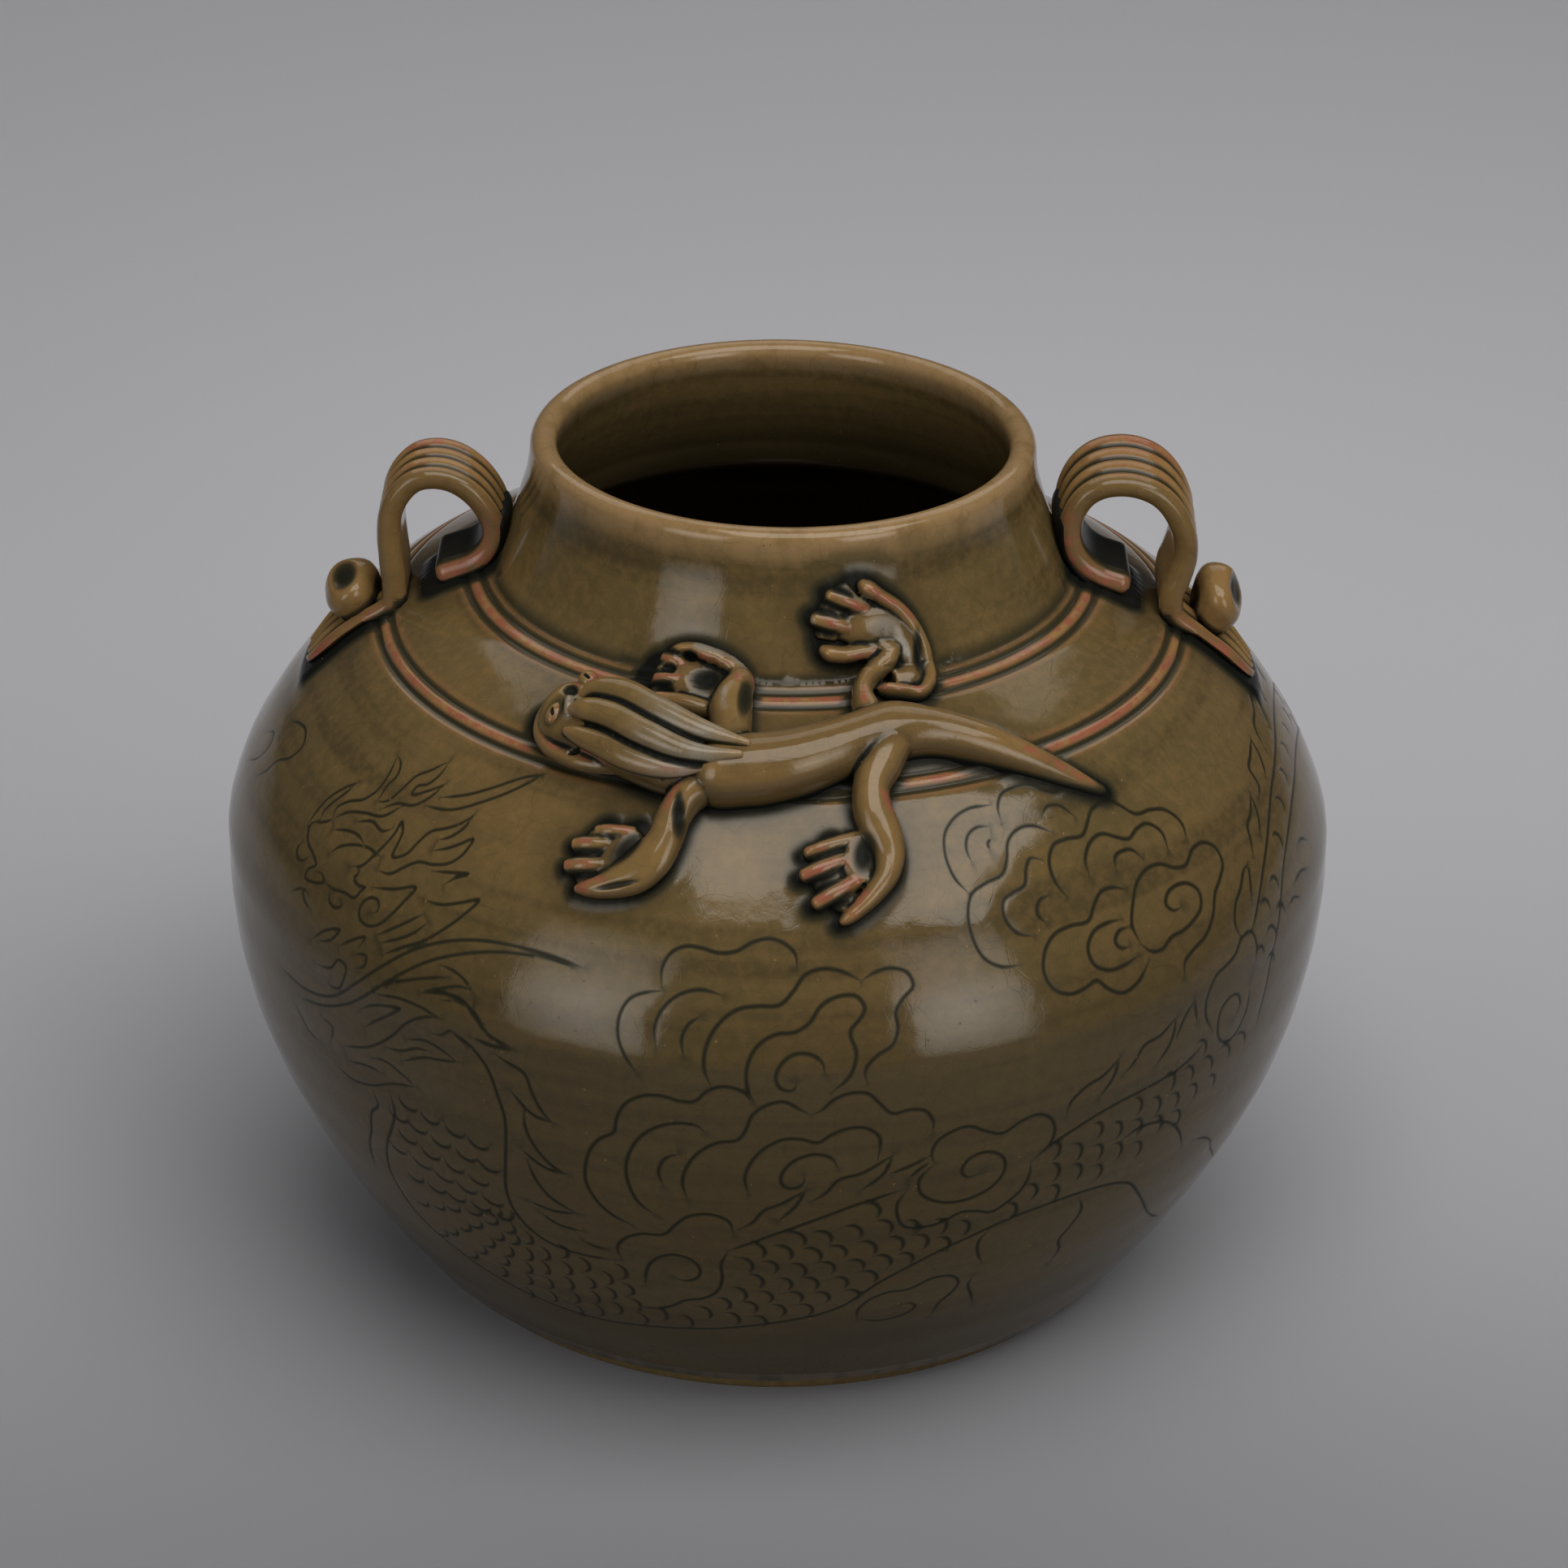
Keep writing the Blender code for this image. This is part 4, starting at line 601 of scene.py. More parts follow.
def upper_curve(count):
    """Return the outer profile from the belly up to the neck's base."""
    belly = np.array((BELLY_RADIUS, BELLY_HEIGHT))
    base = np.array((NECK_BASE_RADIUS, NECK_BASE_HEIGHT))
    lean = base + polar(SHOULDER_PULL, -SHOULDER_SLOPE)
    return bezier(belly, belly + (0, BELLY_PULL_ABOVE), lean, base, count)


def neck_radius(height):
    """Return the outer radius of the neck at a height."""
    top = JAR_HEIGHT - LIP_THICKNESS / 2
    along = (height - NECK_BASE_HEIGHT) / (top - NECK_BASE_HEIGHT)
    spread = NECK_BASE_RADIUS - MOUTH_RADIUS
    return MOUTH_RADIUS + spread * clamp(1.0 - along) ** NECK_POWER


def neck_curve(count):
    """Return the outer profile from the neck's base up to the lip."""
    heights = np.linspace(NECK_BASE_HEIGHT, JAR_HEIGHT - LIP_THICKNESS / 2, count + 1)
    return np.column_stack((neck_radius(heights), heights))


def lengths_along(points):
    """Return the running length at each point of a line."""
    steps = np.linalg.norm(np.diff(points, axis=0), axis=1)
    return np.concatenate(([0.0], np.cumsum(steps)))


def smooth_line(keys, running, at):
    """Read a smooth line through keys at running lengths."""
    slopes = np.gradient(keys, running, axis=0)
    k = np.clip(np.searchsorted(running, at) - 1, 0, len(keys) - 2)
    span = (running[k + 1] - running[k])[:, None]
    t = (at - running[k])[:, None] / span
    start = (2 * t**3 - 3 * t**2 + 1) * keys[k] + (t**3 - 2 * t**2 + t) * span * slopes[k]
    end = (3 * t**2 - 2 * t**3) * keys[k + 1] + (t**3 - t**2) * span * slopes[k + 1]
    return start + end


def smooth_rows(keys, count):
    """Return count rows at even lengths of a smooth line through keys."""
    running = lengths_along(keys[:, :2])
    return smooth_line(keys, running, np.linspace(0.0, running[-1], count))


def evenly(points, count):
    """Return count points at even lengths along a line."""
    running = lengths_along(points)
    at = np.linspace(0.0, running[-1], count)
    return np.column_stack([np.interp(at, running, column) for column in points.T])


def unit_rows(rows):
    """Scale each row to a length of one."""
    return rows / np.linalg.norm(rows, axis=1)[:, None]


def sideways(line):
    """Return the direction to the right of a flat line at each of its points."""
    step = unit_rows(np.gradient(line, axis=0))
    return np.column_stack((step[:, 1], -step[:, 0]))


def turned_by(degrees, x, y):
    """Return flat places as seen by one who has turned by an angle."""
    cosine, sine = math.cos(math.radians(degrees)), math.sin(math.radians(degrees))
    return x * cosine + y * sine, y * cosine - x * sine


def eased(share):
    """Round off the start and the end of a share."""
    return share * share * (3.0 - 2.0 * share)


class Outside:
    """The smooth outer surface from the foot to the lip, addressed by azimuth, station and lift."""

    def __init__(self):
        below = lower_curve(LINE_SAMPLES)
        above = upper_curve(LINE_SAMPLES)
        neck = neck_curve(LINE_SAMPLES)
        line = np.vstack((below, above[1:], neck[1:]))
        running = lengths_along(line)
        step = np.gradient(line, running, axis=0)
        angles = np.unwrap(np.arctan2(-step[:, 0], step[:, 1]))
        self.line = line[::-1]
        self.stations = (running[2 * LINE_SAMPLES] - running)[::-1]
        self.angles = angles[::-1]
        self.top = self.stations[0]
        self.bottom = self.stations[-1]
        self.relief_radius = float(np.interp(RELIEF_STATION, self.stations, self.line[:, 0]))

    def lean(self, stations):
        """Return the angles of the outward normals above the horizontal, blended over corners."""
        spread = np.linspace(-LEAN_BLEND, LEAN_BLEND, 9)
        return np.mean([np.interp(stations + s, self.stations, self.angles) for s in spread], axis=0)

    def lifted(self, stations, lifts):
        """Return the radii and heights at lifts above stations."""
        lean = self.lean(stations)
        radii = np.interp(stations, self.stations, self.line[:, 0]) + lifts * np.cos(lean)
        heights = np.interp(stations, self.stations, self.line[:, 1]) + lifts * np.sin(lean)
        return radii, heights

    def place(self, azimuths, stations, lifts):
        """Return points in space at azimuths in radians, stations and lifts."""
        radii, heights = self.lifted(stations, lifts)
        return np.column_stack((radii * np.sin(azimuths), -radii * np.cos(azimuths), heights))

    def normals(self, azimuths, stations):
        """Return the outward normals in space at azimuths in radians and stations."""
        lean = self.lean(stations)
        level = np.cos(lean)
        return np.column_stack((level * np.sin(azimuths), -level * np.cos(azimuths), np.sin(lean)))

    def address(self, points):
        """Return the azimuth, station and lift of points near the surface."""
        azimuths = np.arctan2(points[:, 0], -points[:, 1])
        apart = np.column_stack((np.hypot(points[:, 0], points[:, 1]), points[:, 2]))
        places = np.arange(self.top, self.bottom, ADDRESS_STEP)
        radii, heights = self.lifted(places, places * 0.0)
        lean = self.lean(places)
        level, rise = np.cos(lean), np.sin(lean)
        stations = np.empty(len(points))
        for first in range(0, len(points), CHUNK):
            some = apart[first : first + CHUNK]
            away_r = some[:, 0, None] - radii
            away_z = some[:, 1, None] - heights
            beside = away_r * rise - away_z * level
            out = away_r * level + away_z * rise
            far = np.where((out > -ADDRESS_REACH) & (out < ADDRESS_REACH), 0.0, 1.0)
            nearest = np.clip(np.argmin(np.abs(beside) + far, axis=1), 1, len(places) - 2)
            rows = np.arange(len(nearest))
            slope = (beside[rows, nearest + 1] - beside[rows, nearest - 1]) / (2.0 * ADDRESS_STEP)
            slope = np.where(np.abs(slope) < 0.1, 0.1, slope)
            shift = np.clip(-beside[rows, nearest] / slope, -ADDRESS_STEP, ADDRESS_STEP)
            stations[first : first + CHUNK] = places[nearest] + shift
        radii, heights = self.lifted(stations, stations * 0.0)
        lean = self.lean(stations)
        lifts = (apart[:, 0] - radii) * np.cos(lean) + (apart[:, 1] - heights) * np.sin(lean)
        return azimuths, stations, lifts


OUTSIDE = Outside()


def mesh_object(name, points, faces):
    """Make an object of a mesh that is worked out in code."""
    mesh = bpy.data.meshes.new(name)
    mesh.from_pydata([tuple(p) for p in points], [], [tuple(f) for f in faces])
    mesh.update()
    piece = bpy.data.objects.new(name, mesh)
    bpy.context.scene.collection.objects.link(piece)
    return piece


def choose(piece, others=()):
    """Deselect everything, then select a piece, with others, and make it active."""
    bpy.ops.object.select_all(action="DESELECT")
    for one in (*others, piece):
        one.select_set(True)
    bpy.context.view_layer.objects.active = piece


def join_into(piece, others):
    """Join other objects into a piece."""
    choose(piece, others)
    bpy.ops.object.join()


def apply_modifier(piece, kind, **values):
    """Add a modifier with its values and make it part of the mesh."""
    choose(piece)
    bpy.ops.object.modifier_add(type=kind)
    modifier = piece.modifiers[-1]
    for key, value in values.items():
        setattr(modifier, key, value)
    bpy.ops.object.modifier_apply(modifier=modifier.name)


def tidy_mesh(piece, distance):
    """Merge doubled points and turn the faces outwards."""
    choose(piece)
    bpy.ops.object.mode_set(mode="EDIT")
    bpy.ops.mesh.select_all(action="SELECT")
    bpy.ops.mesh.remove_doubles(threshold=distance)
    bpy.ops.mesh.normals_make_consistent(inside=False)
    bpy.ops.object.mode_set(mode="OBJECT")


def points_of(piece, what="co"):
    """Return the points of a piece's mesh, or what else is written there for each point."""
    flat = np.empty(len(piece.data.vertices) * 3)
    piece.data.vertices.foreach_get(what, flat)
    return flat.reshape(-1, 3)


def normals_of(piece):
    """Return the point normals of a piece's mesh."""
    return points_of(piece, "normal")


def move_points(piece, points):
    """Write new places for the points of a piece's mesh."""
    piece.data.vertices.foreach_set("co", points.ravel())
    piece.data.update()


def paint(piece, name, values):
    """Write one number for each point of a piece, for its glaze to read."""
    layer = piece.data.attributes.get(name) or piece.data.attributes.new(name, "FLOAT", "POINT")
    layer.data.foreach_set("value", clamp(values).astype(np.float32))


def finish_piece(piece, material, nodes, angle):
    """Shade a finished piece, glaze it, hide the solids that it stands for and attach it under the root."""
    choose(piece)
    bpy.ops.object.shade_smooth_by_angle(angle=angle, keep_sharp_edges=False)
    piece.data.materials.clear()
    piece.data.materials.append(material)
    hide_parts(*nodes)
    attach(piece, "root")


def turned_skin(name, profile, steps):
    """Draw a profile point by point, spin it about the axis and close it."""
    bpy.ops.object.select_all(action="DESELECT")
    start = (0.0, -profile[0][0], profile[0][1])
    bpy.ops.mesh.primitive_plane_add(size=WALL, location=start)
    piece = bpy.context.object
    piece.name = name
    bpy.ops.object.mode_set(mode="EDIT")
    bpy.ops.mesh.merge(type="CENTER")
    for before, after in zip(profile, profile[1:]):
        step = (0.0, before[0] - after[0], after[1] - before[1])
        bpy.ops.mesh.extrude_region_move(TRANSFORM_OT_translate={"value": step})
    bpy.ops.mesh.select_all(action="SELECT")
    bpy.ops.mesh.spin(steps=steps, angle=math.tau, center=(0.0, 0.0, 0.0), axis=(0.0, 0.0, 1.0))
    bpy.ops.object.mode_set(mode="OBJECT")
    bpy.ops.object.transform_apply(location=True, rotation=True, scale=True)
    tidy_mesh(piece, 0.01 * MM)
    return piece


def inside_profile():
    """Return the profile from the lip's outer edge over the lip, down the inside to the floor."""
    lip = LIP_THICKNESS / 2
    centre = np.array((MOUTH_RADIUS - lip, JAR_HEIGHT - lip))
    over = [centre + polar(lip, angle) for angle in np.linspace(0.0, math.pi, 15)]
    neck = neck_curve(14)[::-1]
    down = [(radius - LIP_THICKNESS, height) for radius, height in neck[1:-1]]
    outer = np.vstack((lower_curve(60), upper_curve(60)[1:]))
    inner = outer - sideways(outer) * WALL
    throat = NECK_BASE_RADIUS - WALL
    in_throat = (inner[:, 1] > BELLY_HEIGHT) & (inner[:, 0] < throat)
    wall = inner[(inner[:, 1] > FLOOR_HEIGHT + FLOOR_FILLET) & ~in_throat]
    slope = (wall[1] - wall[0]) / np.linalg.norm(wall[1] - wall[0])
    corner = wall[0] - slope * (wall[0][1] - FLOOR_HEIGHT) / slope[1]
    reach = np.linalg.norm(wall[0] - corner)
    bend = bezier(corner - (reach, 0), corner - (reach / 3, 0), (corner + wall[0]) / 2, wall[0], 10)
    floor = [(corner[0] - reach) * share for share in (0.0, 0.3, 0.6, 0.85)]
    floor = np.array([(radius, FLOOR_HEIGHT) for radius in floor])
    rising = np.vstack((bend[:-1], wall, [(throat, NECK_BASE_HEIGHT - WALL / 3)]))
    rising = evenly(rising, 54)
    return np.vstack((over, down, rising[::-1], floor[::-1]))


def foot_profile():
    """Return the profile from the foot's cove round the foot ring to the middle of the base."""
    ring_inside = FOOT_RADIUS - FOOT_RING_WIDTH
    corners = (
        (BODY_START_RADIUS, BODY_START_HEIGHT),
        (FOOT_RADIUS + FOOT_COVE * 1.2, BODY_START_HEIGHT - FOOT_COVE * 0.45),
        (FOOT_RADIUS + FOOT_COVE * 0.35, BODY_START_HEIGHT - FOOT_COVE * 0.75),
        (FOOT_RADIUS, BODY_START_HEIGHT - FOOT_COVE * 1.2),
        (FOOT_RADIUS, FOOT_BEVEL * 1.6),
        (FOOT_RADIUS - FOOT_BEVEL * 0.2, FOOT_BEVEL * 0.6),
        (FOOT_RADIUS - FOOT_BEVEL, 0.0),
        (ring_inside + FOOT_BEVEL, 0.0),
        (ring_inside + FOOT_BEVEL * 0.2, FOOT_BEVEL * 0.6),
        (ring_inside, FOOT_BEVEL * 1.6),
        (ring_inside - BASE_RECESS * 0.25, BASE_RECESS * 0.8),
        (ring_inside - BASE_RECESS * 0.6, BASE_RECESS),
        (ring_inside * 0.7, BASE_RECESS),
        (ring_inside * 0.35, BASE_RECESS),
        (0.0, BASE_RECESS),
    )
    return np.array(corners)


class Stroke:
    """One line of the knife on the flat sheet: its points, half widths and depth shares."""

    def __init__(self, points, half_width, share):
        running = lengths_along(points)
        count = max(5, int(round(running[-1] / LINE_SPACING)) + 1)
        at = np.linspace(0.0, running[-1], count)
        self.points = smooth_line(points, running, at) if len(points) > 2 else evenly(points, count)
        along = lengths_along(self.points)
        taper = min(LINE_TAPER, along[-1] / 4)
        ends = clamp(np.minimum(along, along[-1] - along) / taper)
        self.share = share * (0.28 + 0.72 * ends)
        self.half = half_width * (0.45 + 0.55 * ends)

    def rails(self):
        """Return the points that the mesh needs to hold this line crisply."""
        across = sideways(self.points)
        side = across * self.half[:, None]
        wide = across[::3] * SHADE_REACH * 0.7
        middle = self.points[::3]
        return [self.points, self.points + side, self.points - side, middle + wide, middle - wide]


def on_sheet(flat):
    """Turn a row of azimuths and stations into points on the flat sheet."""
    return np.array(flat).reshape(-1, 2) * (SHEET_SCALE, 1.0)


def drawn(rows, azimuth=0.0, down=0.0, hand=1, width=LINE_HALF_WIDTH, share=1.0):
    """Return the strokes of a drawing, shifted round the jar and mirrored where wanted."""
    strokes = []
    for row in rows:
        points = on_sheet(row) * (hand, 1.0) + (azimuth * SHEET_SCALE, down)
        strokes.append(Stroke(points, width, share))
    return strokes


def scale_strokes(dice):
    """Return the rows of scales along the carved body."""
    keys = np.array(CARVED_BODY) * (SHEET_SCALE, 1.0, 1.0)
    count = int(lengths_along(keys[:, :2])[-1] / SCALE_ROW)
    rows = smooth_rows(keys, count)
    strokes = []
    for k in range(1, count - 1):
        tail = rows[k + 1, :2] - rows[k - 1, :2]
        tail = tail / np.linalg.norm(tail)
        side = np.array((tail[1], -tail[0]))
        half = rows[k, 2] - SCALE_HALF_WIDTH * 0.6
        places = int(half / SCALE_STEP + 0.5 * (k % 2))
        for j in range(-places, places + 1 - k % 2):
            across = (j + 0.5 * (k % 2)) * SCALE_STEP
            middle = rows[k, :2] + side * across + dice.uniform(-SCALE_DRIFT, SCALE_DRIFT, 2)
            if abs(across) > half or covered(middle):
                continue
            size = SCALE_HALF_WIDTH * min(1.0, 0.45 + rows[k, 2] / 16.0) * dice.uniform(0.92, 1.06)
            turn = np.linspace(-1.35, 1.45, 7)[:, None] + dice.uniform(-0.1, 0.1)
            arc = middle + side * size * np.sin(turn) + tail * SCALE_SAG * (np.cos(turn) - 0.5)
            strokes.append(Stroke(arc, LINE_HALF_WIDTH * 1.15, 1.0))
    return strokes


def covered(point):
    """Tell whether a cloud lies over this place of the carved body."""
    x, y = point[0] / SHEET_SCALE, point[1]
    return any(((x - a) / wide) ** 2 + ((y - s) / high) ** 2 < 1.0 for a, s, wide, high in CLOUD_COVERS)


def drawing(dice):
    """Return every stroke of the carving, front and back."""
    strokes = []
    for rows in (CLOUD_MIDDLE, CLOUD_LOW, CLOUD_RIGHT, CLOUDS_ON_BODY, DRAGON_BACK, DRAGON_BELLY, FLAMES):
        strokes.extend(drawn(rows))
    strokes.extend(drawn(MANE_LINES, width=LINE_HALF_WIDTH * 0.9, share=0.85))
    strokes.extend(drawn(HEAD_LINES, width=LINE_HALF_WIDTH * 0.85, share=0.85))
    strokes.extend(scale_strokes(dice))
    for cloud in BACK_CLOUDS:
        strokes.extend(drawn(*cloud))
    for stroke in strokes:
        if np.mean(stroke.points[:, 0] - HALF_TURN) > 0.0:
            stroke.points[:, 0] -= 2.0 * HALF_TURN
    return strokes


class Thinner:
    """Keeps points that are far enough from those already kept."""

    CELL = 1.5

    def __init__(self):
        self.cells = {}
        self.kept = []

    def add(self, points, spacing):
        """Keep each of these points that has no kept point within the spacing."""
        limit = spacing * spacing
        reach = int(math.ceil(spacing / self.CELL))
        around = range(-reach, reach + 1)
        for x, y in points:
            column, row = int(math.floor(x / self.CELL)), int(math.floor(y / self.CELL))
            cells = (self.cells.get((column + i, row + j), ()) for i in around for j in around)
            if not any((a - x) ** 2 + (b - y) ** 2 < limit for cell in cells for a, b in cell):
                self.cells.setdefault((column, row), []).append((x, y))
                self.kept.append((x, y))


def footprint():
    """Return where the relief and the handles meet the wall, as places in space with half widths."""
    places, halves = [], []
    rolls = [TORSO, HEAD]
    for limb in LIMBS:
        rolls.extend((*limb["rolls"], *map(toe_rows, limb["toes"])))
    for roll in rolls:
        rows, _ = roll_rows(roll, FOOTPRINT_STEP * MM)
        places.append(OUTSIDE.place(rows[:, 0] / OUTSIDE.relief_radius, rows[:, 1], rows[:, 1] * 0.0))
        sunk = np.sqrt(np.clip(1.0 - (rows[:, 2] / np.maximum(rows[:, 4], 0.1 * MM)) ** 2, 0.05, 1.0))
        halves.append(rows[:, 3] * sunk)
    stations = np.concatenate([np.arange(*span, FOOTPRINT_STEP) for span in STRAP_CONTACTS]) * MM
    for word, side in SIDES.items():
        for station in stations:
            wide = np.linspace(-1.0, 1.0, 7) * (STRAP_WIDTHS[word] / 2 - 1.6 * MM)
            radius = float(OUTSIDE.lifted(np.array([station]), np.array([0.0]))[0][0])
            azimuths = side * math.pi / 2 + wide / radius
            places.append(OUTSIDE.place(azimuths, wide * 0.0 + station, wide * 0.0))
            halves.append(wide * 0.0 + 2.0 * MM)
    return np.vstack(places), np.concatenate(halves)


def clearance(points, places, halves):
    """Return how far points are from the foot of what is luted on."""
    nearest = np.empty(len(points))
    for first in range(0, len(points), CHUNK):
        some = points[first : first + CHUNK]
        away = np.linalg.norm(some[:, None, :] - places[None], axis=2) - halves
        nearest[first : first + CHUNK] = away.min(axis=1)
    return nearest


def sheet_space(points, lifts=0.0):
    """Return points of the flat sheet as places in space, at lifts in mm above the profile."""
    azimuths = np.radians(points[:, 0] / SHEET_SCALE)
    return OUTSIDE.place(azimuths, points[:, 1] * MM, lifts * MM)


def line_field(points, strokes):
    """Return the depth share of the carving and its soft shade at points of the sheet."""
    samples, halves, shares = [], [], []
    for stroke in strokes:
        fine = max(2, int(lengths_along(stroke.points)[-1] / 0.3))
        row = evenly(np.column_stack((stroke.points, stroke.half, stroke.share)), fine)
        samples.append(row[:, :2])
        halves.append(row[:, 2])
        shares.append(row[:, 3])
    samples, halves, shares = np.vstack(samples), np.concatenate(halves), np.concatenate(shares)
    tree = kdtree.KDTree(len(samples))
    for k, (x, y) in enumerate(samples):
        tree.insert((x, y, 0.0), k)
    tree.balance()
    depth = np.zeros(len(points))
    shade = np.zeros(len(points))
    for k, (x, y) in enumerate(points):
        _, nearest, away = tree.find((x, y, 0.0))
        if away < SHADE_REACH:
            inside = max(0.0, 1.0 - (away / halves[nearest]) ** 2)
            depth[k] = shares[nearest] * inside**1.2
            shade[k] = shares[nearest] * (1.0 - away / SHADE_REACH) ** 1.5
    return depth, shade


def off_rings(points):
    """Tell which points of the sheet lie clear of the turned rings, which have rows of their own."""
    beside = np.min([np.abs(points[:, 1] - ring / MM) for ring in RING_STATIONS], axis=0)
    return beside > RING_ROWS[-1] + 0.5


def bricked(across, down, spacing):
    """Return points laid like bricks, where each second row is shifted by half a spacing."""
    return np.array([(x + 0.5 * spacing * (k % 2), y) for k, y in enumerate(down) for x in across])


def on_wall(points, margin):
    """Return the points that lie on the sheet, a margin off its sides and its lower edge."""
    return points[(np.abs(points[:, 0]) < HALF_TURN - margin) & (points[:, 1] < OUTSIDE.bottom / MM - margin)]


def close_points(top):
    """Return close points all over the front shoulder and round the foot of each handle."""
    gap = CLOSE_SPACING
    half, low = FRONT_PATCH
    patches = [bricked(np.arange(-half, half, gap), np.arange(top + 1.0, low, gap), gap)]
    half, high, low = HANDLE_PATCH
    for azimuth in (-90.0, 90.0):
        across = np.arange(-half, half, gap) + azimuth * SHEET_SCALE
        patches.append(bricked(across, np.arange(high, low, gap), gap))
    return np.vstack(patches)


def carved_sheet(strokes, places, halves):
    """Lay out the points of the flat sheet, along its edges, rings and lines, and join them by faces."""
    top, bottom = OUTSIDE.top / MM, OUTSIDE.bottom / MM
    columns = np.linspace(-HALF_TURN, HALF_TURN, TURN_STEPS + 1)
    thin = Thinner()
    for station in (top, bottom):
        thin.add([(x, station) for x in columns], EDGE_GAP)
    rings = [station / MM + row for station in RING_STATIONS for row in RING_ROWS]
    seam = sorted(rings + list(np.arange(top + 1.5, bottom - 1.0, PLAIN_SPACING)))
    for side in (-HALF_TURN, HALF_TURN):
        thin.add([(side, station) for station in seam], RING_GAP)
    rails = [stroke.rails() for stroke in strokes]
    for line in rails:
        for rail in line[:3]:
            thin.add(on_wall(rail, 0.6), LINE_GAP)
    for station in rings:
        thin.add([(x, station) for x in columns[1:-1]], RING_GAP)
    for line in rails:
        for rail in line[3:]:
            thin.add(on_wall(rail, 1.0), SHADE_GAP)
    close = close_points(top)
    close = close[off_rings(close)]
    away = clearance(sheet_space(close), places, halves)
    thin.add(close[(away < CLOSE_REACH * MM) & (away > -2.0 * MM)], CLOSE_SPACING * 0.8)
    across = np.arange(-HALF_TURN + 1.6, HALF_TURN - 1.6, PLAIN_SPACING)
    plain = bricked(across, np.arange(top + 1.6, bottom - 1.0, PLAIN_SPACING * 0.87), PLAIN_SPACING)
    thin.add(plain[off_rings(plain)], PLAIN_SPACING * 0.72)
    corners, _, faces, *_ = delaunay_2d_cdt([Vector(p) for p in np.array(thin.kept)], [], [], 0, 1e-6)
    return np.array([tuple(p) for p in corners]), faces


def ring_depths(stations):
    """Return how deep the turned rings are cut at stations, in millimetres."""
    depth = np.zeros(len(stations))
    for ring in RING_STATIONS:
        depth += np.interp(stations - ring / MM, RING_ROWS, RING_DEPTHS, left=0.0, right=0.0)
    return depth


def unevenness(points):
    """Return the slow waves that a potter's fingers leave in the wall, in millimetres inwards."""
    angle = np.radians(points[:, 0] / SHEET_SCALE)
    y = points[:, 1]
    throw = 0.05 * np.sin(y / 1.9 + 0.8 * np.sin(angle) + 0.4 * np.sin(3.0 * angle + 1.0))
    slow = 0.10 * np.sin(y / 7.3 + 1.2 * np.cos(angle + 0.7)) + 0.07 * np.sin(4.0 * angle + y / 23.0)
    return 0.22 + throw + slow


def plain_lifts(flat):
    """Return how far the wall, without carving or slip, stands off its profile, in millimetres."""
    to_edge = np.minimum(flat[:, 1] - OUTSIDE.top / MM, OUTSIDE.bottom / MM - flat[:, 1])
    inset = clamp(to_edge / 6.0)
    return -ring_depths(flat[:, 1]) - inset * unevenness(flat)


def plain_lean(flat):
    """Return the outward directions of the wall without its carving."""

    def moved(across, down):
        """Return the wall's points beside the asked ones."""
        beside = flat + np.array((across, down))
        return sheet_space(beside, plain_lifts(beside))

    nudge = 0.05
    lean = np.cross(moved(0.0, nudge) - moved(0.0, -nudge), moved(nudge, 0.0) - moved(-nudge, 0.0))
    return unit_rows(lean)


def settle_shading(skin):
    """Let light run over the carved lines almost as over the glaze that fills them."""
    lean = np.empty(len(skin.data.vertices) * 3)
    skin.data.attributes["lean"].data.foreach_get("vector", lean)
    lean = lean.reshape(-1, 3)
    carved = np.linalg.norm(lean, axis=1) > 0.5
    mixed = lean * (1.0 - LINE_RELIEF_SHARE) + normals_of(skin) * LINE_RELIEF_SHARE
    mixed[~carved] = 0.0
    mixed[carved] = unit_rows(mixed[carved])
    skin.data.normals_split_custom_set_from_vertices(mixed.tolist())
    skin.data.attributes.remove(skin.data.attributes["lean"])


def glaze_wall(sheet, flat, depth, shade, away):
    """Paint where the glaze of the wall is pooled, milky, dull, thin and burnt, and where shade, shadow and a
    highlight are painted on.
    """
    azimuths, down = np.radians(flat[:, 0] / SHEET_SCALE), flat[:, 1]

    def lower(start, reach):
        """Return how far points lie below a station, as a share of a reach."""
        return clamp((down - start) / reach)

    # Dark pooled glaze round what is luted on, widened with a painted shadow.
    pool_and_shadow_halo = clamp(1.25 - away / HALO_REACH) ** 1.4
    corner = NECK_POOL * np.exp(-((down / 1.5) ** 2))
    in_rings = np.clip(ring_depths(down) * 0.95, 0.0, RING_POOL)
    ridge, edges = np.zeros(len(flat)), np.zeros(len(flat))
    for ring in RING_STATIONS:
        beside = np.abs(down - ring / MM)
        ridge = np.maximum(ridge, clamp(1.9 - beside / 0.6))
        edges = np.maximum(edges, clamp(1.0 - np.abs(beside - 3.1) / 0.5))
    # The top of the outer wall under the lip gets thin, milky glaze, partly a painted highlight.
    rim = clamp((OUTSIDE.top / MM + 2.0 - down) / 2.0)
    clear = 1.0 - pool_and_shadow_halo
    # Painted shade that darkens the wall towards the foot.
    low = np.maximum(lower(*BELLY_SHADE) * 0.75, lower(*LOW_SHADE))
    band = np.exp(-(((down - NECK_BAND) / 0.9) ** 2)) * (0.45 - 0.35 * np.sin(azimuths + 0.3))
    # Painted shade that darkens the wall up to 9 mm round what is luted on.
    joint = clamp(1.0 - away / 9.0) * 0.7
    paint(sheet, "pool_and_shadow", np.maximum.reduce((LINE_POOL * depth**0.6, pool_and_shadow_halo, corner, in_rings)))
    paint(sheet, "pearl_and_highlight", LIP_PEARL * rim)
    paint(sheet, "dull", lower(*DULLING))
    paint(sheet, "shade", np.maximum.reduce((shade * 0.3, joint, low, band)))
    paint(sheet, "thin", np.maximum.reduce((ridge * clear, 0.6 * edges * clear, 0.95 * rim)))
    paint(sheet, "blush", np.maximum(ridge, 0.5 * edges) * clear)


